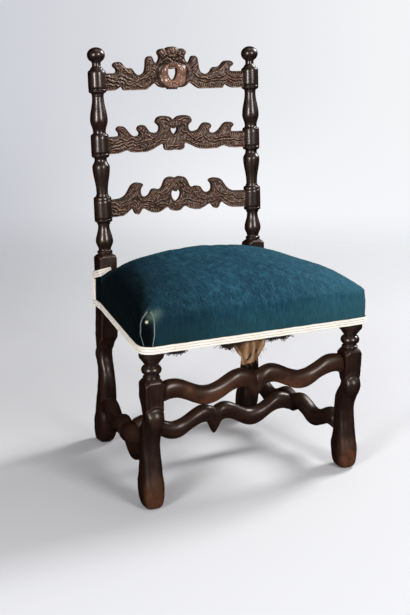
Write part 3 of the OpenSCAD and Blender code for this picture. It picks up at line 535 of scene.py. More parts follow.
footRows = [
    [0, 11, 17, 13], [0.015, 19, 24, 19.5], [0.045, 24, 30, 23], [0.1, 27, 35, 25],
    [0.175, 27, 38.5, 26], [0.235, 24, 39.5, 26], [0.29, 20, 34.5, 24.5]]
headRows = [[0.99, 21.9, 21, 21.9], [1.0, 22.4, 22.4, 22.4]]
frontRows = footRows + [
    [0.39, 14.5, 32, 23], [0.49, 10.5, 33, 22], [0.58, 9.5, 35, 21.5], [0.64, 13.5, 36, 21.5],
    [0.7, 20.5, 33, 21.6], [0.76, 27.5, 24, 21.8], [0.8, 30.5, 17, 21.9], [0.83, 31, 12, 21.9],
    [0.865, 27.5, 9.6, 21.9], [0.89, 22.5, 9.5, 21.9], [0.925, 21.9, 11, 21.9], [0.965, 21.9, 17, 21.9]] + headRows
rearRows = footRows + [
    [0.39, 19, 33, 23], [0.49, 15.5, 32.5, 22], [0.58, 16, 32, 20.5], [0.64, 19, 28.5, 19.5],
    [0.7, 24, 22, 19], [0.76, 29, 13, 19.2], [0.8, 31, 8, 19.6], [0.83, 31, 5.5, 19.8], [0.865, 27.5, 3.8, 20],
    [0.89, 22.5, 3.5, 20.4], [0.925, 21.9, 6, 21], [0.965, 21.9, 14, 21.9]] + headRows
leg = {
    "sides": 48, "rings": 70, "voxel": 1.15, "knuckle": (22, 16.5, 24), "knuckleAt": 0.825, "sink": 5.2,
    "drawnDown": 0.35, "blend": 90, "archDrop": 22, "rearArchDrop": 14, "squareness": 11,
    "square": [[0, 0.5, 0.62, 0.86, 0.9, 1], [3.0, 3.0, 2.5, 2.5, 6, 10]], "postHeights": (320, 380, 405, 426),
    "arch": ((0, 0.28, 0.62, 1), (0.78, 1.08, 1.32, 1.5)), "archSteps": 14, "rearArchSteps": 12,
    "squash": 0.96, "uneven": 0.3, "unevenSize": 34, "foot": 4, "rubbed": (88, 60),
    # where the knuckle melts into the leg: under it from one ring to another, and over it
    "seamFrom": (8, 10), "seamTo": (66, 12), "seamOver": (22, 9), "seamFront": 9,
    # ring, half width and height of the arched line and of the lip outside it
    "line": (25.5, 1.5, 1.9), "lip": (28.5, 1.6, 0.7), "archFade": 6,
}


def smoothRow(rows, share, reach=0.02, ends=12):
    rows = np.array(rows)
    spread = np.linspace(-reach, reach, 9)
    at = np.clip(share + spread * min(1, share * ends, (1 - share) * ends), 0, 1)
    return [np.mean(np.interp(at, rows[:, 0], rows[:, k])) for k in (1, 2, 3)]


def archRing(half, below, drop):
    # the square's outline, cut by what the lathe took off at this depth below the top
    ux, uy = superRound(leg["sides"], leg["squareness"])
    depths, reaches = np.array(leg["arch"])
    reach = np.interp(below, drop * depths, half * reaches)
    cut = np.minimum(1, reach / (np.hypot(ux, uy) * half))
    return ux * half * cut, uy * half * cut


def boneRings(rows, blockLow, out, axisY, x):
    rings = []
    for share in np.concatenate([[0, 0.008, 0.02], np.linspace(0.035, 1, leg["rings"])]):
        outward, inward, half = smoothRow(rows, share)
        ux, uy = superRound(leg["sides"], float(np.interp(share, *leg["square"])))
        z = share * blockLow
        middle = axisY(z) - out * (inward - outward) / 2
        rings.append(stacked(x + half * ux, middle + (inward + outward) / 2 * uy, z))
    return rings


def makeScrolled(name, node, rings, x, y, z, half, out):
    # the rings and a drawn down ball for the knuckle, made one
    bone = growRings("bone", rings)
    letGo()
    bpy.ops.mesh.primitive_uv_sphere_add(segments=40, ring_count=24, radius=mm)
    knuckle = named("knuckle")
    editAll(knuckle)
    bpy.ops.transform.resize(value=leg["knuckle"], center_override=(0, 0, 0))
    bpy.ops.transform.translate(value=(x * mm, (y + out * (half - leg["sink"])) * mm, z * mm))
    leaveFacingOut()
    points = corners(knuckle)
    points[:, 2] -= leg["drawnDown"] * np.clip(z - points[:, 2], 0, None)
    setCorners(knuckle, points)
    hold(bone, knuckle)
    bpy.ops.object.join()
    piece = named(name)
    remeshed(piece, leg["voxel"])
    carveScroll(piece, x, y, z, out)
    woodPiece(piece, uprightWalnut, node)


def carveScroll(piece, x, y, z, out):
    # blends the knuckle into the leg, cuts an arched line over it and leaves the tool's unevenness
    points = corners(piece)
    up, front = points[:, 2] - z, (points[:, 1] - y) * out
    ring = np.hypot(points[:, 0] - x, up * leg["squash"])
    (start, rise), (end, fall), (over, reach) = leg["seamFrom"], leg["seamTo"], leg["seamOver"]
    under = np.clip((ring - start) / rise, 0, 1) * np.clip((end - ring) / fall, 0, 1)
    seam = np.where(up < 0, under, valley(ring - over, reach)) * (front > leg["seamFront"])
    blend = piece.vertex_groups.new(name="blend")
    for k in np.where(seam > 0.1)[0]:
        blend.add([int(k)], float(seam[k]), "REPLACE")
    applyModifier(piece, "SMOOTH", factor=0.6, iterations=leg["blend"], vertex_group="blend")
    points = corners(piece)
    up = points[:, 2] - z
    shown = np.clip(reading(piece, "normal")[:, 1] * out * 1.5, 0, 1)
    ring = np.hypot(points[:, 0] - x, up * leg["squash"])
    line, lip = [tall * valley(ring - at, wide) * np.clip(up / leg["archFade"], 0, 1)
                 for at, wide, tall in (leg["line"], leg["lip"])]
    offsets = leg["uneven"] * waves(points, 11 + out, leg["unevenSize"]) + (lip - line) * shown
    offsets[points[:, 2] < leg["foot"]] = 0
    pushOut(piece, offsets)
    top, fade = leg["rubbed"]
    keep(piece, "rub", shown * (out < 0) * np.clip((top - points[:, 2]) / fade, 0, 1))


def makeFrontLeg(side, sideName):
    x, y, half = side * chair["legX"], chair["legY"], chair["legHalf"]
    low, top, drop = chair["frontBlockLow"], chair["frontBlockTop"], leg["archDrop"]
    rings = boneRings(frontRows, low, -1, lambda z: y, x)
    for z in [low + 6, *np.linspace(top - drop, top, leg["archSteps"])]:
        px, py = archRing(half, top - z, drop)
        rings.append(stacked(x + px, y + py, z))
    makeScrolled(f"{sideName}_front_leg_carved", f"{sideName}_front_leg", rings, x, y,
                 leg["knuckleAt"] * low, half, -1)


def makePostSquare(side, sideName):
    x, half, drop = side * chair["postX"], chair["postHalf"], leg["rearArchDrop"]
    low, splay = chair["rearBlockLow"], chair["splayStart"]

    def axisY(z):
        return chair["postY"] + max(0, splay - z) * chair["rearSplay"] / splay

    rings = boneRings(rearRows, low, 1, axisY, x)
    ux, uy = superRound(leg["sides"], leg["squareness"])
    for z in sorted((low + 6, splay - 1, splay + 1, *leg["postHeights"])):
        rings.append(stacked(x + half * ux, axisY(z) + half * uy, z))
    for z in [-chair["squareUp"] + 4, -40, *np.linspace(-drop, 0, leg["rearArchSteps"])]:
        px, py = archRing(half, -z, drop)
        rings.append(leanPoint(x + px, py, z))
    z = leg["knuckleAt"] * low
    makeScrolled(f"{sideName}_post_carved", f"{sideName}_back_post", rings, x, axisY(z), z, half, 1)


for side, sideName in sides:
    makeFrontLeg(side, sideName)
    makePostSquare(side, sideName)
print("scrolled legs made")


# Wavy stretchers

bars = {
    "front": {"end": 234, "z": 258, "wave": 14, "crest": 37, "period": 170, "notch": 15, "drop": 30, "dropW": 16,
              "deep": 36},
    "side": {"end": 177, "z": 102, "wave": 11, "crest": 29, "period": 120, "notch": 9, "drop": 12, "dropW": 16,
             "deep": 40},
    "cross": {"end": 217, "z": 100, "wave": 15, "crest": 27, "period": 160, "notch": 9, "drop": 35, "dropW": 12,
              "deep": 36},
    "height": 44, "sides": 28, "rings": 91, "crease": 0.22, "creaseHalf": 4.5, "squareness": 2.25,
    "uneven": 0.35, "unevenSize": 36, "rubbed": (105, 62), "chip": (-174, 270, 9),
}


def makeBar(nodeName, kind, place, material):
    # place turns points along, across and up in the bar's own frame into the chair's
    size, name = bars[kind], f"{nodeName}_carved"
    ux, uy = superRound(bars["sides"], bars["squareness"])
    rings = []
    for t in np.linspace(-1, 1, bars["rings"]):
        s = size["end"] * (0.5 * t + 0.5 * t * abs(t))
        far = abs(s)
        phase = 2 * math.pi * (max(far, size["crest"]) - size["crest"]) / size["period"]
        middle = size["z"] + size["wave"] * math.cos(phase)
        top = middle + bars["height"] / 2 - size["notch"] * max(0, 1 - far / size["crest"]) ** 1.6
        low = middle - bars["height"] / 2 - size["drop"] * valley(s, size["dropW"])
        deep = size["deep"] / 2 * (1 - bars["crease"] * math.exp(-far / bars["creaseHalf"]))
        rings.append(place(s, deep * ux, (top + low) / 2 + (top - low) / 2 * uy))
    piece = growRings(name, rings)
    applyModifier(piece, "SUBSURF", levels=1, render_levels=1)
    pushOut(piece, bars["uneven"] * waves(corners(piece), len(name), bars["unevenSize"]))
    if kind == "front":
        points, normals = corners(piece), reading(piece, "normal")
        (middle, reach), (x, z, wide) = bars["rubbed"], bars["chip"]
        low = np.clip(-normals[:, 1] * 0.5 - normals[:, 2] * 0.8, 0, 1) * valley(np.abs(points[:, 0]) - middle, reach)
        keep(piece, "rub", low + 0.8 * valley(np.hypot(points[:, 0] - x, points[:, 2] - z), wide))
    woodPiece(piece, material, nodeName, angle=60)


splayAt = chair["postY"] + (chair["splayStart"] - bars["side"]["z"]) * chair["rearSplay"] / chair["splayStart"]
sideMid = ((chair["legX"] + chair["postX"]) / 2, (chair["legY"] + splayAt) / 2)
sideTurn = math.atan2(chair["legX"] - chair["postX"], splayAt - chair["legY"])


def alongX(y):
    return lambda s, across, z: stacked(s, y + across, z)


def alongSide(side):
    c, s = math.cos(sideTurn), math.sin(sideTurn)
    return lambda run, across, z: stacked(side * sideMid[0] - side * run * s + across * c,
                                          sideMid[1] + run * c + side * across * s, z)


makeBar("front_stretcher", "front", alongX(chair["legY"]), acrossWalnut)
makeBar("cross_stretcher", "cross", alongX(sideMid[1]), acrossWalnut)
makeBar("left_side_stretcher", "side", alongSide(-1), sideWalnut)
makeBar("right_side_stretcher", "side", alongSide(1), sideWalnut)
print("stretchers made")


# Carved slats: half outlines in the slat's own frame, from the middle to the end, as x, z, x, z and so on

slats = {
    "crest": {
        "at": 387,
        "upper": [1, 102.2, 7, 101.5, 13, 99, 17, 95.5, 23, 97.5, 30, 96.5, 35.5, 92.5, 37, 86.5, 33, 79, 34.5, 71,
            38, 65.5, 43, 63.5, 47, 65, 50, 69, 52.5, 75, 56, 79.5, 62, 79.5, 68, 75, 70, 67, 71, 56, 73, 47, 76,
            41, 82, 37, 90, 35.5, 98, 37, 104, 42, 108, 48.5, 114, 52, 122, 52, 129, 54.5, 134, 60, 140, 65.5, 148,
            67, 156, 65, 160.5, 61, 160, 56, 154, 51, 152, 46, 157, 41, 190, 41],
        "lower": [1, 0, 12, 0, 13, 3.5, 24, 4, 33, 6.5, 39, 10, 43, 14, 47, 15.5, 52, 14, 58, 10, 64, 5.5, 71, 1.5,
            80, 0, 128, 0, 133, 1, 136, 5, 140, 9.5, 145, 8, 151, 4, 158, 1, 166, 0, 190, 0],
        "opening": [1, 22.5, 5, 24, 9, 29, 12, 36, 13, 43, 12.5, 48.5, 9, 50.5, 4, 49.5, 1, 48.5],
    },
    "middle": {
        "at": 238,
        "upper": [1, 75.5, 4, 77, 8, 80.5, 14, 83.5, 24, 85.3, 34, 85, 42.5, 82, 47, 76.5, 48.5, 70, 42, 64, 39, 59,
            40, 51, 44, 46.5, 51, 45, 60, 46, 68, 49, 73, 55.5, 79, 62.5, 86, 65.5, 94, 64, 99, 60, 100, 54, 95, 48,
            95.5, 42, 101, 39.5, 109, 39, 117, 41.5, 124, 47.5, 130, 54.5, 136, 61, 143, 64.5, 151, 64.5, 157, 61,
            158.5, 56, 154, 51, 152, 45, 156, 41, 190, 41],
        "lower": [1, 2.5, 6, 0.5, 13, 0, 20, 1, 25, 4, 27, 9, 27, 14, 31, 17, 37, 16, 44, 13, 52, 9.5, 60, 5.5, 69,
            2, 80, 0, 109, 0, 118, 1.5, 126, 5, 135, 6, 143, 4, 152, 1, 162, 0, 190, 0],
        "opening": [1, 38, 4, 41, 8, 46, 10.3, 51, 9.5, 55, 6, 56.5, 2.5, 55.5, 1, 53.5],
    },
    "lower": {
        "at": 86,
        "upper": [1, 84, 4, 85, 10, 87, 18, 86.5, 25, 83.5, 30.5, 77.5, 34, 69.5, 37.5, 63, 42, 59, 49, 58.5, 56,
            60.5, 63, 60, 68, 56.5, 71.5, 50.5, 77, 45, 86, 42.5, 94.5, 45, 98, 50, 99, 56, 97.5, 63.5, 93.5, 69,
            92, 73.5, 98, 77, 106, 78.5, 115, 77.5, 123, 73, 128, 67, 132.5, 60, 138, 53, 144, 48, 153, 44, 165,
            42.5, 190, 42],
        "lower": [1, 1, 7, 1.5, 13, 4, 17, 8.5, 22, 11, 28, 11, 34, 8, 42, 4, 51, 1.5, 62, 1, 70, 3.5, 78, 7.5, 84,
            11, 90, 13, 96, 12.5, 100, 8, 104, 3, 108.5, 0.5, 113, 2, 117, 7, 119.5, 12.5, 123, 15.5, 128, 15, 134,
            11, 140, 6.5, 147, 2.5, 157, 0.5, 190, 0],
        "opening": [1, 26, 5, 27.5, 9.5, 32, 13, 39, 14, 46, 12, 51.5, 7.5, 53.5, 3.5, 52, 1, 49.5],
    },
    "thick": 16, "bow": 21, "setBack": 4, "voxel": 0.82, "blockR": 21.6,
}
bowX = chair["postX"] - slats["blockR"]
bowR = (bowX ** 2 + slats["bow"] ** 2) / (2 * slats["bow"])
bowY = slats["setBack"] + slats["bow"] - bowR

# The carver's strokes in the slat's own frame: long lines, and rows of short cuts as their pitch, length,
# slant from square and guide

carving = {
    "crest": {
        "lines": [[-184, 34, -178, 33, -167, 30, -158, 30, -150, 34, -145, 40, -147, 46, -153, 53, -154, 60], [-161,
            24, -150, 28, -141, 27, -133, 23, -127, 16, -121, 12.5, -113, 15.5, -106, 18, -98, 14, -91, 9, -82, 8],
            [-142, 38, -133, 34, -123, 28, -116, 26, -108, 22, -100, 20.5, -94, 27], [-93, 25, -82, 28, -73, 30,
            -63, 34, -54, 38, -48, 37], [-57, 53, -51, 50, -44, 46], [-60, 48, -54, 44, -47, 40], [-184, 24, -178,
            27, -171, 22, -164, 20, -155, 22, -148, 18, -140, 20, -134, 14], [-184, 13, -176, 16, -168, 12, -160,
            14, -152, 10, -146, 12], [-139, 58, -132, 52, -127, 46, -121, 42, -114, 38], [49, 44, 55, 48, 61, 53,
            66, 60], [47, 52, 54, 57, 60, 64], [56, 40, 62, 34, 69, 29, 77, 27, 84, 28, 92, 25, 100, 23, 108, 27,
            118, 29, 126, 27, 134, 31, 141, 35], [67, 22, 77, 20, 86, 17, 95, 18, 104, 21, 114, 20, 123, 22, 133,
            20, 142, 22, 151, 17, 160, 12, 172, 12], [141, 40, 148, 34, 155, 30, 163, 26, 172, 28, 184, 26], [146,
            26, 156, 22, 166, 19, 176, 21, 184, 18], [-40, 96, -34, 91, -28, 93], [30, 92, 25, 86, 31, 82]],
        "rows": [[4.4, 9, 50, -112, 45, -105, 37, -98, 29], [4.4, 10, 20, -84, 12, -75, 17, -66, 22], [4.4, 8, 0,
            -119, 7, -93, 6], [4.4, 6, 0, -77, 37, -70, 41, -63, 46], [4.8, 8, 60, -143, 57, -134, 49, -128, 44],
            [5.2, 10, 8, 70, 10, 86, 8, 104, 8, 128, 8], [4.6, 9, 35, 103, 41, 112, 43, 121, 44], [4.6, 9, 60, 122,
            46, 130, 52, 138, 60], [4.6, 8, 0, 46, 60, 52, 66], [5.4, 6, 0, 150, 36, 182, 36], [5, 6, 0, -182, 7,
            -150, 7], [5, 7, 0, 142, 6, 182, 6], [4.4, 7, 0, -65, 58, -62, 68], [4.4, 6, 30, 60, 40, 66, 46, 68,
            54]],
    },
    "middle": {
        "lines": [[-184, 36, -176, 33, -168, 30, -160, 33, -152, 37, -143, 33, -136, 30, -128, 32, -121, 36, -113,
            34, -107, 28, -98, 30, -90, 33], [-84, 46, -76, 42, -67, 37, -60, 33, -51, 36], [-180, 16, -166, 18,
            -153, 20, -142, 24, -133, 18, -126, 17, -118, 21, -111, 17, -101, 19, -91, 14, -84, 16], [-180, 27,
            -164, 26, -151, 29, -140, 28, -132, 24, -121, 27, -108, 24, -94, 26, -79, 29, -64, 29], [-178, 10, -164,
            12, -152, 10, -143, 15, -134, 11], [-54, 19, -46, 25, -36, 27.5, -27, 27.5, -21, 23, -20, 16], [-42, 64,
            -43, 72, -38, 79, -29, 80, -19, 77, -8, 71], [-25, 71, -16, 66, -7, 61, 0, 60], [19, 52, 25, 46, 34, 43,
            39, 38, 45, 33, 51, 29, 56, 25, 63, 28, 71, 31, 80, 35], [79, 35, 86, 27, 94, 22, 106, 19, 119, 21, 131,
            23, 144, 22, 158, 23, 170, 20, 184, 22], [20, 26, 31, 26, 41, 23, 49, 17, 56, 20, 65, 22, 73, 15], [40,
            66, 43, 73, 38, 79, 29, 80, 19, 77, 8, 71], [-160, 60, -156, 52, -150, 46, -146, 40], [-100, 58, -95,
            50, -90, 43], [104, 28, 116, 27, 126, 29, 138, 30, 150, 29], [-18, 10, -12, 12, 0, 11, 12, 12, 18, 9],
            [20, 68, 28, 64, 33, 57], [84, 56, 90, 50, 92, 44], [138, 58, 146, 52, 148, 44]],
        "rows": [[4.6, 6, 0, -82, 14, -68, 17, -56, 22], [4.8, 9, 65, -156, 56, -146, 49, -136, 42], [4.6, 8, 65,
            -98, 58, -91, 51, -84, 45], [4.4, 8, 55, -39, 72, -34, 62, -28, 53], [4.8, 8, 30, 3, 72, 14, 71, 27,
            68], [4.4, 12, 10, 53, 38, 65, 44, 78, 50], [4.4, 10, 0, 112, 32, 121, 40, 130, 48], [4.8, 9, 0, 62, 7,
            78, 6, 100, 6, 122, 8], [4.8, 9, 0, 130, 13, 143, 11, 156, 7], [5.6, 8, 12, 146, 34, 180, 34], [4.6, 7,
            0, -50, 12, -38, 17, -28, 19], [4.6, 7, 0, 24, 12, 36, 16, 48, 11], [4.6, 6, 0, -82, 4, -110, 4], [4.6,
            6, 45, -14, 66, -8, 50]],
    },
    "lower": {
        "lines": [[-184, 35, -175, 35, -167, 29, -161, 27, -155, 33, -147, 36, -136, 37], [-109, 50, -104, 40, -97,
            33, -88, 33, -81, 34, -73, 31, -64, 30], [-130, 29, -123, 33, -116, 34, -110, 29, -107, 22], [-126, 23,
            -121, 28, -115, 26, -112, 20], [-111, 13, -102, 19, -95, 24, -87, 24, -78, 21, -70, 18, -62, 16], [-54,
            48, -46, 50, -38, 45, -31, 48, -24, 52, -18, 56], [-48, 21, -38, 24, -30, 21, -23, 19, -17, 23, -10,
            20], [-184, 19, -176, 17, -168, 12], [-184, 26, -172, 24, -162, 15, -154, 16, -145, 19], [-184, 10,
            -172, 6, -160, 7], [15, 56, 22, 51, 31, 47, 40, 42], [43, 52, 50, 44, 55, 36, 62, 31, 70, 29, 80, 27],
            [16, 27, 27, 31, 37, 29, 45, 25, 54, 23, 64, 20, 76, 18], [106, 62, 109, 52, 113, 46, 121, 40, 131, 37,
            141, 36], [111, 31, 120, 33, 127, 29, 133, 23, 140, 19, 150, 14, 168, 14, 184, 14], [139, 40, 145, 34,
            151, 38, 160, 28, 168, 24, 184, 26], [-10, 62, -4, 70, 0, 76], [10, 62, 5, 70, 0, 76], [-26, 60, -20,
            68, -12, 78], [26, 60, 20, 68, 12, 78], [-62, 24, -50, 30, -40, 33, -28, 31], [90, 22, 98, 20, 106, 24],
            [-134, 66, -124, 70, -114, 70]],
        "rows": [[4.4, 12, 0, -140, 41, -128, 48, -115, 56], [4.4, 13, 0, -70, 40, -62, 44, -55, 46], [4.4, 10, 0,
            -45, 55, -35, 60, -25, 67], [4.5, 11, 0, -74, 12, -58, 8, -42, 9], [4.5, 12, 0, 38, 14, 50, 11, 64, 11],
            [4.8, 8, 0, 120, 64, 127, 56, 135, 47], [4.5, 8, 0, -92, 12, -84, 15], [4.5, 8, 0, -26, 10, -14, 10],
            [4.5, 8, 0, 14, 14, 28, 15], [4.2, 9, 0, 88, 36, 92, 42, 100, 45, 108, 42, 111, 37], [5, 8, 0, 146, 8,
            182, 6], [4.8, 7, 10, -150, 10, -126, 14], [4.4, 8, 0, 44, 48, 52, 52, 60, 50], [4.4, 7, 0, 74, 44, 84,
            38]],
    },
    "ridgeWidth": 1.9, "ridge": 2.1, "lineWidth": 1.5, "apart": 3, "cutWidth": 1.5, "rim": 3.6, "rimDepth": 1.2,
    "line": 2.3, "cut": 3.2,
    "edgeDepth": 1.5, "uneven": ((0.6, 21, 24), (0.3, 22, 8)),
}


def wholeOutline(half):
    # half runs from the middle outwards and back to the middle
    return np.vstack([half, (half * [-1, 1])[::-1]])


def boardFrom(name, outline, half):
    # a closed line of extruded points, filled and pulled through the thickness
    piece = drawnLine(name, stacked(outline[:, 0], -half, outline[:, 1]))
    bpy.ops.mesh.edge_face_add()
    bpy.ops.mesh.extrude_region_move(TRANSFORM_OT_translate={"value": (0, 2 * half * mm, 0)})
    leaveFacingOut()
    return piece


def stroke(places, tall, wide, fade):
    return np.column_stack([places, tall * fade, wide * (0.7 + 0.3 * fade)])


def strokePoints(table):
    # samples of all strokes: raised lines with their height, then cuts with their depth, and both widths
    raised, cuts = [], []
    for k, line in enumerate(table["lines"]):
        points, run, way = evenly(softened(line), 0.6)
        square = way[:, ::-1] * [-1, 1]
        points = points + square * (0.5 * np.sin(run / 2.3 + k))[:, None]
        fade = np.clip(np.minimum(run, run[-1] - run) / 6 + 0.1, 0, 1) * (0.82 + 0.18 * np.sin(run / 2.6 + 2 * k))
        below = points + np.where(way[:, :1] < 0, square, -square) * carving["apart"]
        for rows, places, tall, wide in ((raised, points, "ridge", "ridgeWidth"), (cuts, below, "line", "lineWidth")):
            rows.append(stroke(places, carving[tall], carving[wide], fade))
    for pitch, length, slant, *guide in table["rows"]:
        points, run, way = evenly(softened(guide), pitch)
        c, s = math.cos(math.radians(90 + slant)), math.sin(math.radians(90 + slant))
        cut = stacked(way[:, 0] * c - way[:, 1] * s, way[:, 0] * s + way[:, 1] * c)
        t = np.linspace(-0.5, 0.5, int(length / 0.6))
        fade = np.cos(np.pi * t) ** 0.5
        for k in range(len(points)):
            bend = way[k] * (0.08 * length * np.cos(np.pi * t))[:, None]
            place = points[k] + cut[k] * (t * length * (0.9 + 0.1 * math.sin(3.1 * k)))[:, None] + bend
            cuts.append(stroke(place, carving["cut"], carving["cutWidth"], fade))
    return np.vstack(raised), np.vstack(cuts)


def carvedDepth(kind, x, z, far):
    # heights of the carving in millimetres, outwards positive
    depth = -carving["edgeDepth"] * np.exp(-far / 1.5) - carving["rimDepth"] * valley(far - carving["rim"], 1.2)
    within = np.clip(far / 2.5, 0, 1)
    for way, samples in zip((1, -1), strokePoints(carving[kind])):
        apart, which = nearest(samples[:, :2], stacked(x, z))
        depth += way * samples[which, 2] * valley(apart, samples[which, 3]) * within
    place = stacked(x, z, 0 * x)
    return depth + sum(tall * waves(place, seed, size) for tall, seed, size in carving["uneven"])


# The swollen cartouche and its crown, one half: domes as place across and up, reach and height; lines and
# cuts as height or depth, half width and points

cartouche = {
    "middle": (0, 32.5), "reach": (37, 31), "height": 7.5, "hole": (12, 36, 14), "edge": 2.6,
    "squareness": 0.02, "blend": 1.4, "joint": 60, "crownHalf": 44, "spread": 50,
    "domes": [[22, 45, 17, 19, 11], [19, 19, 17, 17, 8.5], [8, 8, 10, 8, 7], [0, 63, 20, 8, 6.5], [14, 70, 13, 9,
        5.5], [0, 89.5, 16.5, 13.5, 7.5], [28, 86.5, 13, 11.5, 6.5], [17, 76, 3, 3, 8], [0, 73.5, 3, 2.8, 8.5],
        [28.5, 76, 3.4, 3.2, 8.5], [15.5, 11.5, 2.6, 2.4, 8]],
    "lines": [[2.2, 1.8, 31, 65, 25, 71, 18, 73.5, 10, 72, 3, 68], [1.8, 1.5, 0, 62.5, 7, 62, 14, 58.5, 20, 55],
        [2.2, 1.8, 16, 84, 12, 80, 4, 78.5, 0, 79], [2.2, 1.6, 0, 18, 5, 17.5, 9, 13, 8, 9], [1.6, 1.6, 19, 96, 16,
        90, 17, 83]],
    "cuts": [[3, 1.8, 8, 93, 6.5, 87, 1, 84.5], [2, 1.4, 4, 97, 2, 92, 3, 89], [2.6, 1.6, 34, 88, 31, 82.5, 25, 82,
        23, 88, 28, 91], [1.6, 3.4, 33, 35, 27, 33.5, 20, 35], [2.6, 1.4, 0, 14.5, 3.5, 14, 5.5, 11], [2.2, 1.5, 22,
        66, 15, 67, 8, 66], [2.6, 1.8, 34, 58, 28, 61, 21, 61], [3.5, 2.4, 0, 54, 7, 54.5, 13, 51.5], [2.4, 1.6, 20,
        92, 15.5, 97]],
}


def crestRelief(x, z, far):
    half, (cx, cz), (reachX, reachZ) = np.abs(x), cartouche["middle"], cartouche["reach"]
    angle = np.arctan2(z - cz, half)
    level = np.hypot(x / reachX, (z - cz) / reachZ) / (1 - cartouche["squareness"] * np.cos(4 * angle))
    inside = np.clip(1 - level ** 2, 0, 1)
    lumps = [cartouche["height"] * inside ** 0.45]
    for dx, dz, rx, rz, tall in cartouche["domes"]:
        lumps.append(tall * np.clip(1 - ((half - dx) / rx) ** 2 - ((z - dz) / rz) ** 2, 0, 1) ** 0.75)
    blend, joint = cartouche["blend"], cartouche["joint"]
    boss = np.log(sum(np.exp(blend * lump) for lump in lumps) - len(lumps) + 1) / blend
    for way, kind in ((1, "lines"), (-1, "cuts")):
        for tall, wide, *line in cartouche[kind]:
            boss += way * tall * valley(lineGap(line, half, z), wide)
    holeX, holeZ, holeHigh = cartouche["hole"]
    fall = np.clip((np.hypot(x / holeX, (z - holeZ) / holeHigh) - 1) / 0.75, 0, 1)
    boss *= np.where(z < joint, 0.3 + 0.7 * fall ** 0.7, 1)
    boss -= cartouche["edge"] * valley(level - 1.07, 0.1) * (z < joint) * (0.7 + 0.3 * np.sin(5 * angle))
    boss *= np.clip(far / 2.4, 0.25, 1)
    crown = np.clip((z - joint) / 3, 0, 1) * (half < cartouche["crownHalf"])
    red = np.clip(inside * 4, 0, 1) * (1 - 0.75 * np.clip((z - joint - 6) / 10, 0, 1))
    return boss, np.clip(np.maximum(inside * 4, crown), 0, 1), red


def carvedFinish():
    finish = Finish("walnut carved", Specular_IOR_Level=0.7, Specular_Tint=walnut["tint"], Coat_Roughness=0.2)
    figure = finish.noise(0.5, 5.0, 0.6, finish.place((7, 150, 150)))
    cloud = finish.noise(16.0, 4.0, 0.6)
    wear_and_shading, polish, upper_edge_shade = finish.carried("wear_and_shading"), finish.carried("polish"), finish.carried("upper_edge_shade")
    patches = finish.noise(32.0, 3.0, 0.5)
    smoke = finish.noise(1.0, 3.0, 0.6, finish.place((28, 28, 28), (3.1, 0.4, 1.7)))
    # painted highlight: the raised ridges of the carving are painted light and broken into glint specks, except in
    # the band along the upper edges
    specks = finish.noise(120.0, 2.0, 0.5).between(0.4, 0.6)
    high = wear_and_shading.between(0.1, 0.42) * (1 - upper_edge_shade)
    # painted shade: the cuts and hollows of the carving are painted nearly black, and so is part of a band along the
    # upper edges
    low = ((0 - wear_and_shading).between(0.05, 0.3) + upper_edge_shade * 0.45).least(1.0)
    colour = finish.layers(
        "#351f17",
        (cloud.between(0.35, 0.65), "#53342a"),
        (patches.between(0.5, 0.62) * 0.6, "#4c4030"),
        (figure.between(0.35, 0.7) * 0.4, "#6b4436"),
        (polish * 0.75, "#a07865"),
        ((1 - smoke.between(0.36, 0.54)) * (1 - polish * 0.7) * 0.55, "#1c110c"),
        (high * (specks * 0.66 + 0.16), "#bd9880"),
        (low * 0.95, "#0f0705"))
    rough = 0.34 + cloud * 0.14 + low * 0.3 - polish * 0.19
    return finish.feed(Base_Color=colour, Roughness=rough, Coat_Weight=0.08 + polish * 0.5,
                       Normal=finish.bump(figure + cloud, 0.00008))


slatWalnut = carvedFinish()


def makeSlat(kind):
    size, thick = slats[kind], slats["thick"]
    upper, lower = softened(size["upper"]), softened(size["lower"])
    outline = wholeOutline(np.vstack([upper, lower[::-1]]))
    opening = wholeOutline(softened(size["opening"]))
    board = boardFrom(f"{kind}_slat_carved", outline, thick / 2)
    cutOut(board, boardFrom("cutter", opening, thick))
    remeshed(board, slats["voxel"])
    x, y, z = corners(board).T
    front = np.clip((0.3 - y / thick) / 0.8, 0, 1) ** 2
    shown = y < -thick / 2 + 3
    far, depth, red = np.full(len(x), 50.0), np.zeros(len(x)), np.zeros(len(x))
    edges = np.vstack([evenly(np.vstack([loop, loop[:1]]), 1.0)[0] for loop in (outline, opening)])
    far[shown] = nearest(edges, stacked(x[shown], z[shown]))[0]
    depth[shown] = carvedDepth(kind, x[shown], z[shown], far[shown])
    if kind == "crest":
        near = shown & (np.abs(x) < cartouche["spread"])
        boss, cover, red[near] = crestRelief(x[near], z[near], far[near])
        depth[near] = depth[near] * (1 - 0.9 * cover) + boss
    bowed = np.sqrt(bowR ** 2 - x ** 2) + bowY
    setCorners(board, leanPoint(x, y - depth * front + bowed, z + size["at"]))
    keep(board, "polish", red * front)
    # painted shade: a band along the slat's upper edges, where the finish paints shade and leaves out the painted
    # highlight
    keep(board, "upper_edge_shade", valley(far, 2.2) * (z > 0.5 * np.interp(np.abs(x), upper[:, 0], upper[:, 1])))
    woodPiece(board, slatWalnut, f"{kind}_slat")


for kind in ("crest", "middle", "lower"):
    makeSlat(kind)
print("slats carved")


# Seat

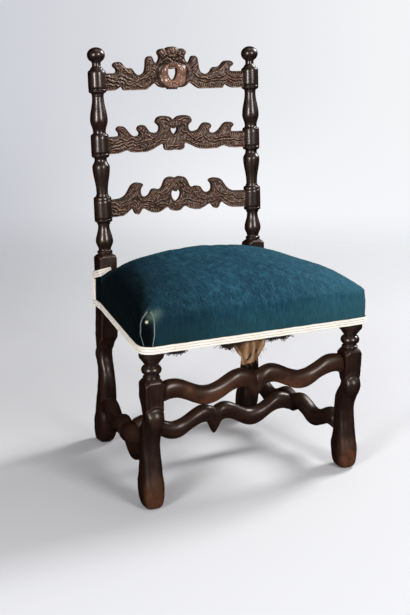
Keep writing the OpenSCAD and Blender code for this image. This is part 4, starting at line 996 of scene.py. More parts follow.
seat = {
    "out": 284.8, "ease": 2, "front": -240.8, "back": 187.3, "wrapOut": 231.3, "wrapBack": 189.5, "corner": 22,
    "railCornerY": -186, "postFront": 144.5, "edgeFront": 446, "edgeBack": 411, "rise": 86, "low": 366.5,
    "thick": 2.5, "underside": 408.6, "start": 1.2, "quickStart": 0.5, "footStart": 0.3, "fade": 24, "voxel": 6.0,
    "grid": (110, 96), "rimSteps": 8, "pressure": 4.0, "quality": 5, "frames": 20, "cap": 2.4, "held": 412,
    "wrapTop": ((0, 45, 47, 73), (440, 455, 456, 461)), "wrapThick": 2.0, "wrapSwell": 0.5, "wrapSteps": 14,
    "tuckPitch": 23, "tuckDepth": 0.9, "tuckAt": (384, 11), "uneven": 0.7, "unevenSize": 120, "unevenFrom": 415,
}
taper = (seat["out"] - seat["wrapOut"]) / (seat["postFront"] - seat["railCornerY"])


def seatHalfX(y, inset=0.0):
    straight = np.where(y > seat["postFront"], seat["wrapOut"], seat["out"] - taper * (y - seat["railCornerY"]))
    short = np.clip(seat["corner"] - (y - seat["front"] - inset), 0, seat["corner"])
    curve = seat["corner"] - np.sqrt(seat["corner"] ** 2 - short ** 2)
    return np.minimum(straight, seat["out"] + seat["ease"]) - inset - curve


def crownZ(x, y, inset=0.0):
    middle, half = (seat["front"] + seat["back"]) / 2, (seat["back"] - seat["front"]) / 2
    u = np.clip(np.abs(x) / np.maximum(seatHalfX(y, inset), 1), 0, 1)
    v = np.clip((y - middle) / (half - inset), -1, 1)
    edge = seat["edgeFront"] + (seat["edgeBack"] - seat["edgeFront"]) * (v + 1) / 2 - inset
    return edge + seat["rise"] * (1 - u ** 1.7) ** 0.3 * (1 - v ** 4) ** 0.98 * (1 + 0.35 * v)


def seatBlock(name, inset, low, flatTop=None):
    # a grid over the seat, its rim drawn down to a level and closed
    letGo()
    across, deep = seat["grid"]
    bpy.ops.mesh.primitive_grid_add(x_subdivisions=across, y_subdivisions=deep, size=2 * mm)
    piece = named(name)
    editAll(piece)
    bpy.ops.mesh.select_all(action="DESELECT")
    bpy.ops.mesh.select_non_manifold()
    for _ in range(seat["rimSteps"]):
        bpy.ops.mesh.extrude_edges_move(TRANSFORM_OT_translate={"value": (0, 0, -0.5 * mm)})
    bpy.ops.mesh.edge_face_add()
    leaveFacingOut()
    u, v, down = corners(piece).T * [[1], [1], [-2 / seat["rimSteps"]]]
    v = np.where(v < 0, -1 + np.maximum(1 + v, 0) ** 1.35, v)
    places = []
    for away in (seat["footStart"] if flatTop is None else inset, inset):
        y = seat["front"] + away + (seat["back"] - seat["front"] - 2 * away) * (v + 1) / 2
        x = u * seatHalfX(y, away)
        top = crownZ(x, y, away) if flatTop is None else flatTop
        places.append(stacked(x, y, top + (low - top) * down))
    foot, full = places
    share = np.clip((full[:, 2:] - seat["held"]) / seat["fade"], 0, 1)
    setCorners(piece, foot + (full - foot) * share)
    return piece


def puffUp(piece):
    # air pressure under the cloth, with the edge over the rails held
    before = corners(piece)
    held = piece.vertex_groups.new(name="held")
    held.add([int(i) for i in np.where(before[:, 2] < seat["held"])[0]], 1.0, "REPLACE")
    hold(piece)
    cloth = piece.modifiers.new("cloth", "CLOTH")
    cloth.settings.quality = seat["quality"]
    cloth.settings.use_pressure = True
    cloth.settings.uniform_pressure_force = seat["pressure"]
    cloth.settings.vertex_group_mass = "held"
    cloth.settings.effector_weights.gravity = 0
    for frameNumber in range(1, seat["frames"] + 1):
        bpy.context.scene.frame_set(frameNumber)
    bpy.ops.object.modifier_apply(modifier=cloth.name)
    bpy.context.scene.frame_set(1)
    move = corners(piece) - before
    far = lengthOf(move)
    print("seat moved, mm: mean", round(float(far.mean()), 2), "most", round(float(far.max()), 2))
    setCorners(piece, before + move * (np.minimum(far, seat["cap"]) / np.maximum(far, 1e-6))[:, None])


# The folded pocket at the front left corner: its two rolled edges, and balls in which the mesh gets finer

pleat = {
    "left": [-268, -219, 456, -276, -224, 451.6, -285.6, -224.6, 443.8, -287, -218, 427, -286.5, -222, 410, -285,
        -228, 396, -282, -232, 383, -281, -234, 372],
    "right": [-262, -222, 455, -261, -231, 452, -261.5, -240.8, 445, -260, -241.5, 431, -261, -241.5, 408, -265,
        -241, 384, -266, -241, 372],
    "finer": ((-273, -230, 415, 62), (-273, -230, 412, 54)), "depth": 3.4,
    "halfGap": ([0, 20, 60, 119], [4, 12, 15, 10]),
    "thin": ((1, 13, -261, -232, 449), (0.5, 9, -244, -226, 456)),
}


def tuckCorner(piece):
    for *centre, reach in pleat["finer"]:
        near = lengthOf(corners(piece) - centre) < reach
        mesh = piece.data
        for kind in (mesh.vertices, mesh.edges, mesh.polygons):
            kind.foreach_set("select", np.zeros(len(kind), dtype=bool))
        loops = np.empty(len(mesh.loops), dtype=np.int32)
        mesh.loops.foreach_get("vertex_index", loops)
        starts = np.empty(len(mesh.polygons), dtype=np.int32)
        mesh.polygons.foreach_get("loop_start", starts)
        mesh.polygons.foreach_set("select", near[loops[starts]])
        hold(piece)
        bpy.ops.object.mode_set(mode="EDIT")
        bpy.ops.mesh.select_mode(type="FACE")
        bpy.ops.mesh.subdivide(number_cuts=1, smoothness=0)
        bpy.ops.mesh.select_mode(type="VERT")
        bpy.ops.object.mode_set(mode="OBJECT")
    points = corners(piece)
    chosen = np.where(lengthOf(points - centre) < reach)[0]
    rolls = [np.array([piece.closest_point_on_mesh(Vector(p * mm))[1] for p in
                       evenly(np.reshape(pleat[side], (-1, 3)), 0.8)[0]]) / mm for side in ("left", "right")]
    share = np.linspace(0, 1, 120)
    middle = sum(stacked(*[np.interp(share, np.linspace(0, 1, len(roll)), part) for part in roll.T])
                 for roll in rolls) / 2
    fromMiddle, at = nearest(middle, points[chosen])
    opening = np.sin(np.pi * np.clip(at / 119, 0.02, 0.8)) ** 0.7
    halfGap = np.interp(at, *pleat["halfGap"])
    inPocket = np.clip(1.25 - fromMiddle / halfGap, 0, 1)
    offsets, edge, pocket_shade = np.zeros((3, len(points)))
    offsets[chosen] = -pleat["depth"] * inPocket ** 0.7 * opening
    for roll in rolls:
        away = nearest(roll, points[chosen])[0]
        offsets[chosen] += 1.5 * valley(away, 1.7) - 1.6 * valley(away - 3.2, 1.4) * (fromMiddle < halfGap * 1.1)
        edge[chosen] = np.maximum(edge[chosen], valley(away, 1.1))
    # painted shade: inside the pocket the velvet is painted dark
    pocket_shade[chosen] = np.clip(inPocket * 1.6, 0, 1) * np.clip((points[chosen, 2] - 368) / 10, 0, 1)
    pushOut(piece, offsets)
    keep(piece, "edge", edge)
    keep(piece, "pocket_shade", pocket_shade)
    keep(piece, "thin", sum(share * valley(lengthOf(points - place), reach)
                            for share, reach, *place in pleat["thin"]))


def velvetFinish():
    finish = Finish("teal velvet", Sheen_Weight=0.06, Sheen_Roughness=0.35, Sheen_Tint=tone("#4d93ad"),
                    Specular_IOR_Level=0.08)
    normal = finish.node("ShaderNodeNewGeometry", output="Normal")
    sideways = finish.split(normal, 0).absolute().between(0.55, 0.85)
    upward = finish.split(normal, 2).between(0.02, 0.95)
    # painted shade on the faces turned to the left
    left_face_shade = (0 - finish.split(normal, 0)).between(0.08, 0.6)
    front = finish.noise(1.0, 3.0, 0.7, finish.place((620, 45, 45)))
    side = finish.noise(1.0, 3.0, 0.7, finish.place((45, 620, 45)))
    streaks = front * (1 - sideways) + side * sideways
    patches = finish.noise(9.0, 4.0, 0.62)
    crushed = finish.noise(1.0, 5.0, 0.78, finish.place((70, 48, 34)))
    scuffs = finish.noise(1.0, 3.0, 0.8, finish.place((330, 210, 130)))
    pile = finish.noise(1500.0, 1.0)
    x, z = finish.split(finish.place(), 0), finish.split(finish.place(), 2)
    colour = finish.layers(
        "#0c2835",
        (streaks.between(0.3, 0.7) * 0.9, "#24586e"),
        (patches.between(0.46, 0.62) * 0.4, "#0b2634"),
        (crushed.between(0.46, 0.68) * (upward * 0.38 + 0.12), "#3f7489"),
        (scuffs.between(0.52, 0.7) * (upward * 0.24 + 0.1), "#4a8298"),
        ((1 - scuffs.between(0.34, 0.5)) * 0.25, "#0a202b"),
        # painted light: the right part of the seat is painted lighter, with painted sheen along the streaks
        (x.between(0.02, 0.28) * (streaks * 0.6 + 0.05), "#447a8d"),
        ((1 - z.between(0.38, 0.47)) * 0.5, "#264b4d"),
        # painted shade: the left part of the seat is painted darker
        ((1 - x.between(-0.26, 0.0)) * 0.62, "#04121a"),
        (left_face_shade * 0.93, "#000405"),
        # painted shade inside the corner pocket
        (finish.carried("pocket_shade") * 0.92, "#010406"),
        (finish.carried("edge") * 0.7, "#9fb0ac"),
        ((finish.carried("thin") * (pile * 0.5 + 0.45)).least(0.75), "#64796f"))
    return finish.feed(Base_Color=colour, Roughness=0.75 + pile * 0.2,
                       Normal=finish.bump(streaks * 0.5 + crushed * 0.2 + pile * 0.3, 0.0012, 0.5))


velvetCloth = velvetFinish()


def makeSeat():
    body = seatBlock("velvet_seat", seat["start"], seat["low"])
    remeshed(body, seat["voxel"], smooth=0)
    puffUp(body)
    applyModifier(body, "SUBSURF", levels=1, render_levels=1)
    cutOut(body, seatBlock("hollow", seat["thick"], seat["low"] - 30, seat["underside"]))
    points = corners(body)
    x, y, z = points.T
    outside = (seatHalfX(y) - np.abs(x) < 10) | (y < seat["front"] + 10)
    along = np.where(y < seat["front"] + 12, x, y)
    tucks = (1 + np.cos(2 * np.pi * along / seat["tuckPitch"] + 0.7 * np.sin(along / 31))) / 2
    at, reach = seat["tuckAt"]
    uneven = seat["uneven"] * waves(points, 31, seat["unevenSize"]) * (z > seat["unevenFrom"])
    pushOut(body, uneven - seat["tuckDepth"] * tucks * valley(z - at, reach) * outside)
    tuckCorner(body)
    dress(body, velvetCloth, "velvet", "velvet_cover", "stuffing_pad", angle=60)


def aroundPost(side, out, reach=28.0, bend=2.5):
    # from the post's back edge along its outer face and round on to its front, in plan
    x, back, front = seat["wrapOut"] + out, seat["wrapBack"], seat["postFront"] - bend
    turn = [[x - bend + bend * math.cos(a), front + bend - bend * math.sin(a)] for a in np.linspace(0, np.pi / 2, 5)]
    path, run, way = evenly([[x, back], *turn, [x - reach, front]], 2.0)
    return path * [side, 1], way[:, ::-1] * [-side, 1], run


def makeWrap(side, sideName):
    # a band that stands on the line round the post, a little fuller in the middle of its height
    path, out, run = aroundPost(side, 0.0)
    path, out = path[:, None], out[:, None]
    t = np.linspace(0, 1, seat["wrapSteps"])
    z = seat["low"] + (np.interp(run, *seat["wrapTop"]) - seat["low"])[:, None] * t
    swells = seat["wrapSwell"] * np.sin(np.pi * t), 0 * t - seat["wrapThick"]
    face, back = [stacked(path[..., 0] + out[..., 0] * swell, path[..., 1] + out[..., 1] * swell, z)
                  for swell in swells]
    piece = shapedGrid(f"velvet_wrap_{sideName}", np.concatenate([face, back[:, ::-1]], axis=1))
    dress(piece, velvetCloth, "velvet", "velvet_cover", angle=60)


makeSeat()
for side, sideName in sides:
    makeWrap(side, sideName)
print("seat made")


# Gimp braid: three cords side by side

braid = {
    "low": 365, "high": 17, "thick": 2.2, "least": 0.7, "gap": 0.3, "rise": 84, "cords": 3, "step": 2.4,
    "samples": 33, "edge": 0.1, "sway": ((0.22, 9.5, 0), (0.13, 4.1, 2)),
    # round the post: run, rise and width, and the upright band's gaps to the bands below and above
    "postRun": (0, 47.5, 75), "postRise": (0, 15.5, 24), "wideRun": (0, 50, 75), "wide": (17, 17, 7),
    "rearGaps": (0.4, 6.2), "rearSteps": 24,
}


def braidFinish():
    finish = Finish("ivory gimp", Sheen_Weight=0.15, Specular_IOR_Level=0.3)
    along, over = finish.carried("along"), finish.carried("over")
    cord = (over * (math.pi * braid["cords"] / braid["high"])).sine().absolute()
    twist = (along * 3.6 + over * 3.0).sine() * 0.5 + 0.5
    dirt = finish.noise(26.0, 4.0, 0.6)
    colour = finish.layers("#fffaf0", (dirt.between(0.4, 0.8) * 0.4, "#f1dfc4"),
                           ((1 - cord.between(0.02, 0.42)) * 0.85, "#a87c5a"), ((1 - twist) * cord * 0.04, "#d3b69a"))
    return finish.feed(Base_Color=colour, Roughness=0.7 + dirt * 0.15,
                       Normal=finish.bump(twist * 0.06 + cord * 0.9, 0.0005, 0.6))


gimpCord = braidFinish()


def makeBraid(name, nodeName, middle, across, out, wide):
    # middle line, unit directions over the band and outwards, and the band's width, point by point
    t = np.linspace(-0.5, 0.5, braid["samples"])
    cords = np.abs(np.sin(np.pi * braid["cords"] * (t + 0.5))) ** 0.7
    face = braid["least"] + (braid["thick"] - braid["least"]) * cords
    face[[0, -1]] = braid["edge"]
    t = np.concatenate([t, t[::-4][1:-1]])
    height = np.concatenate([face, np.zeros(len(t) - len(face))])
    run = np.concatenate([[0], np.cumsum(lengthOf(np.diff(middle, axis=0)))])
    sway = sum(tall * np.sin(run / size + start) for tall, size, start in braid["sway"])
    over = t * np.reshape(wide, (-1, 1)) + sway[:, None]
    piece = shapedGrid(name, middle[:, None] + across[:, None] * over[..., None] + out[:, None] * height[:, None])
    keep(piece, "along", run[kept(piece, "row").astype(int)])
    keep(piece, "over", (t[kept(piece, "column").astype(int)] + 0.5) * braid["high"])
    dress(piece, gimpCord, "gimp", nodeName, angle=70)


def planBraid(name, nodeName, path):
    # path in plan with the outside on its left when walking along it
    path, run, way = evenly(path, braid["step"])
    out = stacked(way[:, 1], -way[:, 0], 0)
    up = np.tile([0.0, 0.0, 1.0], (len(run), 1))
    middle = stacked(path[:, 0], path[:, 1], braid["low"] + braid["high"] / 2)
    makeBraid(name, nodeName, middle, up, out, braid["high"])


def makeBraids():
    out, r = braid["gap"], seat["corner"] + braid["gap"]
    cy = seat["front"] + seat["corner"]
    cx = float(seatHalfX(np.array(cy))) - seat["corner"]
    straight = [[seat["wrapOut"] + out, seat["wrapBack"]], [seat["wrapOut"] + out, seat["postFront"]],
                [seat["out"] + seat["ease"] + out, seat["railCornerY"] - seat["ease"] / taper]]
    turn = np.radians(np.arange(0, 91, 7.5))
    half = np.array(straight + [[cx + r * math.cos(a), cy - r * math.sin(a)] for a in turn])
    planBraid("gimp_braid_seat", "gimp_seat_run", np.vstack([half * [-1, 1], half[::-1]]))
    inside, y = chair["postX"] - chair["postHalf"] - 1, seat["back"] + out
    planBraid("gimp_braid_back", "gimp_back_run", [[inside, y], [-inside, y]])
    for side, sideName in sides:
        makePostBraid(side, sideName)


def makePostBraid(side, sideName):
    # slanted round the post, then upright along its back edge
    path, out, run = aroundPost(side, braid["gap"])
    top = braid["low"] + braid["rise"] - braid["high"] / 2
    middle = np.column_stack([path, top + np.interp(run, braid["postRun"], braid["postRise"])])
    way = np.gradient(middle, axis=0)
    way /= lengthOf(way)[:, None]
    out = np.column_stack([out, 0 * run])
    up = np.cross(out, way) * side
    up *= np.sign(up[:, 2])[:, None]
    nodeName = f"gimp_{sideName}_post"
    makeBraid(f"gimp_braid_{sideName}_post", nodeName, middle, up, out,
              np.interp(run, braid["wideRun"], braid["wide"]))
    below, above = braid["rearGaps"]
    z = np.linspace(braid["low"] + braid["high"] + below, top - above, braid["rearSteps"])
    middle = stacked(side * (seat["wrapOut"] + braid["gap"]), seat["wrapBack"] - braid["high"] / 2, z)
    up, out = [np.tile(way, (len(z), 1)) for way in ([0.0, 1.0, 0.0], [float(side), 0.0, 0.0])]
    makeBraid(f"gimp_braid_{sideName}_rear", nodeName, middle, up, out, braid["high"])


makeBraids()
print("braid made")


# Under the seat: webbing, hessian, and the torn rags that hang under the front rail

under = {
    "top": 402.2, "strapWide": 52, "strapThick": 1.5,
    "strapY": (-152, -64.83, 22.33, 110.5), "strapX": (-110, 0, 110),
    "ends": (-233, 178.5), "side": 8.8, "over": 3.3, "hessianUp": 4.8, "hessianThick": 1.0, "hessianIn": 10.6,
    "notch": ((138, 142.5), 181),
}


def clothFinish(name, pale, dark, pitch, dirt=0.5, torn=False):
    # plain weave by two sets of threads, run and across given in millimetres on the piece
    finish = Finish(name, Sheen_Weight=0.1, Specular_IOR_Level=0.15)
    a, b = [finish.carried(way) * (math.pi / pitch) for way in ("along", "over")]
    over = (a.sine() * b.sine()).between(-0.25, 0.25)
    height = b.sine().absolute() * over + a.sine().absolute() * (1 - over)
    slub, stain = finish.noise(120.0, 3.0, 0.7), finish.noise(14.0, 3.0, 0.6)
    coats = [(height.between(0.2, 0.85), pale), (slub * 0.35, dark), (stain.between(0.45, 0.75) * dirt, "#4a321c")]
    if torn:
        # the torn cloth gets a painted highlight on its folds, and painted shade at its left and along its top
        fold, rag_shade = finish.carried("fold"), finish.carried("rag_shade")
        coats += [(fold * (slub * 0.8 + 0.1), "#c7a283"), (rag_shade * 0.88, "#241513")]
    return finish.feed(Base_Color=finish.layers(dark, *coats), Roughness=0.85 + slub * 0.1,
                       Normal=finish.bump(height * 0.8 + slub * 0.2, 0.0006, 0.9))


webbingCloth = clothFinish("jute webbing", "#b39a6c", "#5e4727", 1.6)
hessianCloth = clothFinish("hessian", "#a98552", "#4d3417", 2.1)
ragCloth = clothFinish("torn hessian", "#93693a", "#432a16", 1.7, dirt=0.6, torn=True)


def makeClothSheet(name, nodeName, points, thick, finish, rests, **more):
    # rows of points across a sheet, thickened downwards
    piece = shapedGrid(name, np.concatenate([points, points[:, ::-1] - [0, 0, thick]], axis=1))
    keep(piece, "along", corners(piece)[:, 0])
    keep(piece, "over", corners(piece)[:, 1])
    dress(piece, finish, "jute", nodeName, angle=50)


def makeWebbing():
    half, thick = under["strapWide"] / 2, under["strapThick"]
    over = np.linspace(-half, half, 12)
    for k, y in enumerate(under["strapY"]):
        reach = seatHalfX(np.array(y)) - under["side"]
        points = stacked(np.linspace(-reach, reach, 90)[:, None], y + over, under["top"] + thick)
        makeClothSheet(f"webbing_across_{k + 1}", "seat_webbing", points, thick, webbingCloth,
                       ["left_seat_rail", "right_seat_rail"])
    for k, x in enumerate(under["strapX"]):
        points = stacked(x + over, np.linspace(*under["ends"], 90)[:, None], under["top"] + under["over"])
        makeClothSheet(f"webbing_along_{k + 1}", "seat_webbing", points, thick, webbingCloth,
                       ["front_seat_rail", "back_seat_rail"])


def makeSeatHessian():
    inset, (notch, narrow) = under["hessianIn"], under["notch"]
    y = np.linspace(seat["front"] + inset, seat["back"] - inset, 120)
    wide = float(seatHalfX(np.array(float(notch[0])))) - inset
    half = np.where(y > notch[0], np.interp(y, notch, [wide, narrow]), seatHalfX(y, inset))
    points = stacked(np.linspace(-1, 1, 60) * half[:, None], y[:, None], under["top"] + under["hessianUp"])
    area = float((half[1:] + half[:-1]) @ np.diff(y)) * mm * mm
    makeClothSheet("hessian_under_stuffing", "seat_hessian", points, under["hessianThick"], hessianCloth,
                   ["webbing_along_1", "webbing_along_2", "webbing_along_3"], area=area)


# The torn cloth as x, z, x, z and so on from its top; folds start with height and half width; tufts are
# node, ends, drop, y, number and seed
rags = {
    "y": -226, "top": 365.9, "half": 0.9, "voxel": 0.75, "jag": 0.3,
    "flap": [-84, 0, -86, -12, -78, -19, -72, -22, -66, -15, -60, -22, -52, -33, -44, -44, -45, -54, -38, -62, -30,
        -59, -24, -58, -14, -56, -7, -52, 3, -45, 10, -30, 14, -21, 18, 0],
    "holes": [[-31, -50, -27, -51, -21, -43, -18, -35, -21, -34, -27, -41], [-9, -38, -5, -37, -3, -31, -6, -27, -9,
        -31]],
    "folds": [[3, 3.5, -64, -10, -53, -24, -45, -38, -40, -56], [1.6, 5, -30, -14, -33, -30, -31, -44], [1.3, 4.5,
        -14, -12, -12, -24, -17, -46, -24, -56], [1.6, 4, 12, -4, 8, -20, 0, -38]],
    "tufts": [
        ("hair_scraps", 20, 80, 21, -221, 760, 3),
        ("hair_scraps", -228, -180, 19, -224, 560, 4),
        ("torn_hessian", -94, -56, 21, -227, 420, 5),
        ("torn_hessian", -104, 66, 8.5, -229, 620, 6),
    ],
}


def makeRag():
    flap = np.reshape(rags["flap"], (-1, 2)).astype(float)
    edge = evenly(np.vstack([softened(flap, 1), flap[:1]]), 1.2)[0][:-1]
    jag = np.random.default_rng(8).normal(0, rags["jag"], (len(edge), 2))
    edge = edge + jag * (edge[:, 1:] < -2)
    rag = boardFrom("torn_hessian_rag", edge, rags["half"])
    remeshed(rag, rags["voxel"])
    for hole in rags["holes"]:
        cutOut(rag, boardFrom("cutter", softened(hole + hole[:2], 1)[:-1], 5))
    x, y, z = corners(rag).T
    flat = stacked(x, 0 * x, z)
    keep(rag, "along", x * 0.94 + z * 0.34)
    keep(rag, "over", z * 0.94 - x * 0.34)
    hang = np.clip(-z / 60, 0, 1)
    curl = 7 * hang ** 1.5 * np.clip((-30 - x) / 40, 0, 1) + 3.5 * np.sin(x / 9 + z / 17) * hang
    curl += 10 * np.clip((x - 2) / 14, 0, 1) ** 2 * hang
    fold = np.zeros(len(x))
    for tall, wide, *line in rags["folds"]:
        bulge = valley(lineGap(line, x, z), wide)
        fold = np.maximum(fold, bulge)
        curl += tall * bulge * np.clip(-z / 16, 0, 1)
    # painted shade: the left part of the rag and a strip along its top, under the seat's edge, are painted dark, less
    # on the folds
    rag_shade = np.clip((-34 - x) / 22, 0, 1) * np.clip(1.25 + z / 55, 0, 1) + np.clip((z + 12) / 9, 0, 1)
    keep(rag, "rag_shade", np.clip(rag_shade + 0.25 * waves(flat, 13, 16) - 0.35 * fold, 0, 1))
    # painted highlight on the raised folds
    keep(rag, "fold", fold)
    setCorners(rag, stacked(x, rags["y"] + y - curl + 1.2 * waves(flat, 9, 22) * hang, z + rags["top"]))
    dress(rag, ragCloth, "jute", "torn_hessian", angle=50)
    turn = np.roll(edge, -1, axis=0)


def fibreFinish(name, pale, dark, rough=0.8):
    finish = Finish(name, Specular_IOR_Level=0.4)
    tint = finish.noise(300.0, 2.0)
    return finish.feed(Base_Color=finish.layers(dark, (tint.between(0.35, 0.65), pale)), Roughness=tint * 0.1 + rough)


horsehair = fibreFinish("horsehair", "#4d3829", "#1a100b")
frayedThread = fibreFinish("frayed thread", "#b8935f", "#6c4a26")


def fibres(name, strands, radius, material, slotName, nodeName):
    # thin bent hairs, each a curve with a round section, made a mesh
    data = bpy.data.curves.new(name, "CURVE")
    data.dimensions, data.bevel_depth, data.bevel_resolution, data.use_fill_caps = "3D", radius * mm, 0, True
    for strand in strands:
        spline = data.splines.new("POLY")
        spline.points.add(len(strand) - 1)
        for point, place in zip(spline.points, strand):
            point.co = (*(place * mm), 1)
    piece = bpy.data.objects.new(name, data)
    bpy.context.collection.objects.link(piece)
    hold(piece)
    bpy.ops.object.convert(target="MESH")
    dress(named(name), material, slotName, nodeName, angle=None)


hair = {"radius": 0.45, "roots": 2.2, "share": (0.35, 1.05), "clump": 4.7, "lean": 0.7, "spread": 2.5}
thread = {"radius": 0.28, "seed": 12, "tries": 90, "corners": 14, "widest": 22, "length": (3, 9)}


def tuftStrands(x0, x1, down, y, count, seed):
    draw = np.random.default_rng(seed)
    t = np.linspace(0, 1, 6)
    strands = []
    for _ in range(count):
        x = draw.uniform(x0, x1)
        edge = min(1, (x - x0 + 3) / 9, (x1 - x + 3) / 9)
        start = y + draw.normal(0, hair["roots"])
        length = draw.uniform(*hair["share"]) * down * edge * (0.75 + 0.25 * math.sin(x / hair["clump"]))
        lean, swirl = draw.normal(0, hair["lean"]), draw.uniform(-1, 1)
        strands.append(stacked(x + length * (lean * t + 0.5 * swirl * np.sin(np.pi * t)),
                               start + draw.normal(0, hair["spread"]) * t + 1.2 * np.sin(4 * t + swirl * 3),
                               rags["top"] + 0.3 - length * (t - 0.25 * t ** 3 * abs(lean))))
    return strands


def frayedStrands():
    flap = np.reshape(rags["flap"], (-1, 2)).astype(float)
    draw = np.random.default_rng(thread["seed"])
    t = np.linspace(0, 1, 5)
    strands = []
    for _ in range(thread["tries"]):
        spot, following = [flap[first + int(draw.integers(0, thread["corners"]))] for first in (2, 3)]
        if np.hypot(*(spot - following)) > thread["widest"]:
            continue
        place = spot + (following - spot) * draw.uniform(0, 1)
        length, way = draw.uniform(*thread["length"]), draw.normal(0, 1)
        strands.append(stacked(place[0] + length * (0.6 * way * t + 0.3 * np.sin(3 * t)),
                               rags["y"] - 3 - 3 * t * draw.uniform(0, 1), rags["top"] + place[1] + 1 - length * t))
    return strands


makeWebbing()
makeSeatHessian()
makeRag()
for k, (nodeName, *tuft) in enumerate(rags["tufts"]):
    fibres(f"hair_tuft_{k + 1}", tuftStrands(*tuft), hair["radius"], horsehair, "hair", nodeName)
fibres("frayed_threads", frayedStrands(), thread["radius"], frayedThread, "jute", "torn_hessian")
print("webbing, hessian and rags made")


# Nails and tacks

def metalFinish(name, pale, dark, rough, metallic):
    finish = Finish(name)
    grime = finish.noise(420.0, 3.0, 0.6)
    colour = finish.layers(pale, (grime.between(0.4, 0.7), dark))
    return finish.feed(Base_Color=colour, Roughness=grime * 0.25 + rough, Metallic=metallic - grime * 0.2)


rustySteel = metalFinish("rusty tack", "#5a4a40", "#2a1a12", 0.4, 0.9)
paleNail = metalFinish("pale nail", "#c9cdb4", "#8f9478", 0.25, 0.7)


def domeHead(name, place, outward, radius, tall, finish):
    # half a sphere pressed flat, on the cloth
    letGo()
    bpy.ops.mesh.primitive_uv_sphere_add(segments=20, ring_count=12, radius=radius * mm)
    piece = named(name)
    editAll(piece)
    bpy.ops.mesh.bisect(plane_co=(0, 0, 0), plane_no=(0, 0, 1), clear_inner=True, use_fill=True)
    bpy.ops.mesh.select_all(action="SELECT")
    bpy.ops.transform.resize(value=(1, 1, tall / radius), center_override=(0, 0, 0))
    leaveFacingOut()
    turn = Vector(outward).to_track_quat("Z", "Y").to_matrix()
    setCorners(piece, corners(piece) @ np.array(turn).T + np.array(place))
    dress(piece, finish, "tack_steel", angle=40)


# place, outward direction, radius, height and finish
nails = {
    "corner_nail": ((-276.5, -235, 436), (-0.6, -0.75, 0.3), 4.2, 2.4, paleNail),
    "rag_tack": ((37, -231.5, 364.6), (0, -0.75, -0.5), 3.4, 1.8, paleNail),
    "gimp_tack_left": ((-215, -242.6, 373.5), (0, -1, 0), 1.3, 0.9, rustySteel),
    "gimp_tack_right": ((203, -242.6, 373.5), (0, -1, 0), 1.3, 0.9, rustySteel),
}
for name, nail in nails.items():
    domeHead(name, *nail)
print("nails made")


# The plain rails, pegs and tacks keep their shape and get a full finish

beech = {"warmth": 0.3, "wearFrom": 9, "wearTo": 10, "gloss": -0.3, "coat": 0.0}
railWood = walnutFinish("beech rail across", "X", seed=6, **beech)
sideRailWood = walnutFinish("beech rail side", "Y", seed=7, **beech)
keptNodes = {
    "front_seat_rail": railWood, "back_seat_rail": railWood, "left_seat_rail": sideRailWood,
    "right_seat_rail": sideRailWood, "slat_pegs": acrossWalnut, "stretcher_pegs": acrossWalnut,
    "rail_pegs": acrossWalnut, "webbing_tacks": rustySteel, "flap_tacks": rustySteel,
}
for nodeName, finish in keptNodes.items():
    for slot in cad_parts[nodeName].material_slots:
        slot.material = finish
print("frame parts finished")


# Lights, floor and backdrop

studio = {
    "floor": "#ebebee", "ambient": (0.88, 0.89, 0.92, 1), "ambientStrength": 0.16, "middle": (0, 0, 0.45),
    "floorRadius": 9, "floorFade": (0.9, 3.6), "domeRadius": 14,
    # azimuth, elevation, distance, size and power
    "lamps": {
        "front": (12, 24, 3.6, (1.0, 1.5), 56),
        "left": (-57, 16, 3.6, (0.8, 1.5), 62),
        "window": (97, 39, 3.4, (0.9, 1.4), 90),
        "above": (30, 84, 3.0, (1.8, 1.8), 9),
    },
}


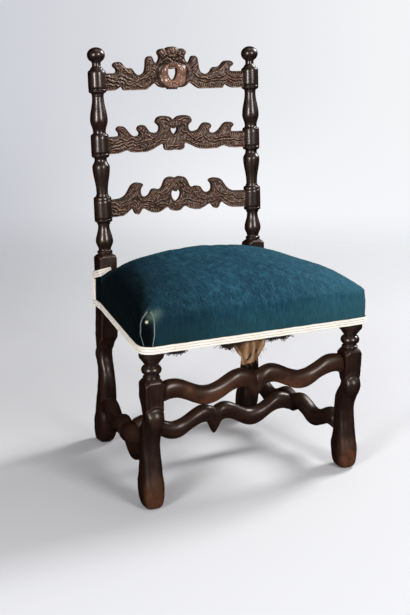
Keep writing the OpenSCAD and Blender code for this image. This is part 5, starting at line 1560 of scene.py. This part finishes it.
def addLamp(name, azimuth, elevation, away, size, power):
    a, e = math.radians(azimuth), math.radians(elevation)
    way = Vector((math.sin(a) * math.cos(e), -math.cos(a) * math.cos(e), math.sin(e)))
    bpy.ops.object.light_add(type="AREA", location=Vector(studio["middle"]) + way * away)
    light = bpy.context.object
    light.name = name
    light.rotation_mode = "QUATERNION"
    light.rotation_quaternion = way.to_track_quat("Z", "Y")
    light.data.energy = power
    light.data.shape = "RECTANGLE"
    light.data.size, light.data.size_y = size


def makeFloor():
    letGo()
    bpy.ops.mesh.primitive_circle_add(vertices=96, radius=studio["floorRadius"], fill_type="NGON")
    floor = named("studio_floor")
    finish = Finish("studio floor", Base_Color=tone(studio["floor"]), Roughness=0.9, Specular_IOR_Level=0.1)
    spot = finish.place()
    away = (finish.split(spot, 0) ** 2.0 + finish.split(spot, 1) ** 2.0) ** 0.5
    floor.data.materials.append(finish.feed(Alpha=1 - away.between(*studio["floorFade"])))
    floor.visible_glossy = False
    return floor


def makeDome():
    # a glowing backdrop seen by the camera alone, with painted light falloff: paler to the right and darker to the
    # left
    bpy.ops.mesh.primitive_uv_sphere_add(segments=48, ring_count=24, radius=studio["domeRadius"])
    dome = named("studio_dome")
    glow = Finish("studio dome", Base_Color=(0, 0, 0, 1), Roughness=1.0, Emission_Strength=1.0)
    spot = glow.place([1 / studio["domeRadius"]] * 3)
    across = glow.split(spot, 0) * shot["right"][0] + glow.split(spot, 1) * shot["right"][1]
    upper = glow.mix(across.between(-0.3, 0.3), tone("#cdcfd6"), tone("#f6f7f9"))
    lower = glow.mix(across.between(-0.27, 0.05), tone("#c3c5cc"), tone("#f6f7fa"))
    colour = glow.mix(1 - glow.split(spot, 2).between(-0.16, 0.02), upper, lower)
    dome.data.materials.append(glow.feed(Emission_Color=colour))
    for name in ("visible_diffuse", "visible_glossy", "visible_shadow", "visible_transmission"):
        setattr(dome, name, False)
    return dome


def setWorld():
    world = bpy.context.scene.world or bpy.data.worlds.new("studio")
    bpy.context.scene.world = world
    world.use_nodes = True
    sky = world.node_tree.nodes["Background"]
    sky.inputs["Color"].default_value = studio["ambient"]
    sky.inputs["Strength"].default_value = studio["ambientStrength"]
    world.cycles_visibility.glossy = False
    bpy.context.scene.view_settings.view_transform = "Standard"


for name, lamp in studio["lamps"].items():
    addLamp(name, *lamp)
makeFloor()
makeDome()
setWorld()
print("studio lit")
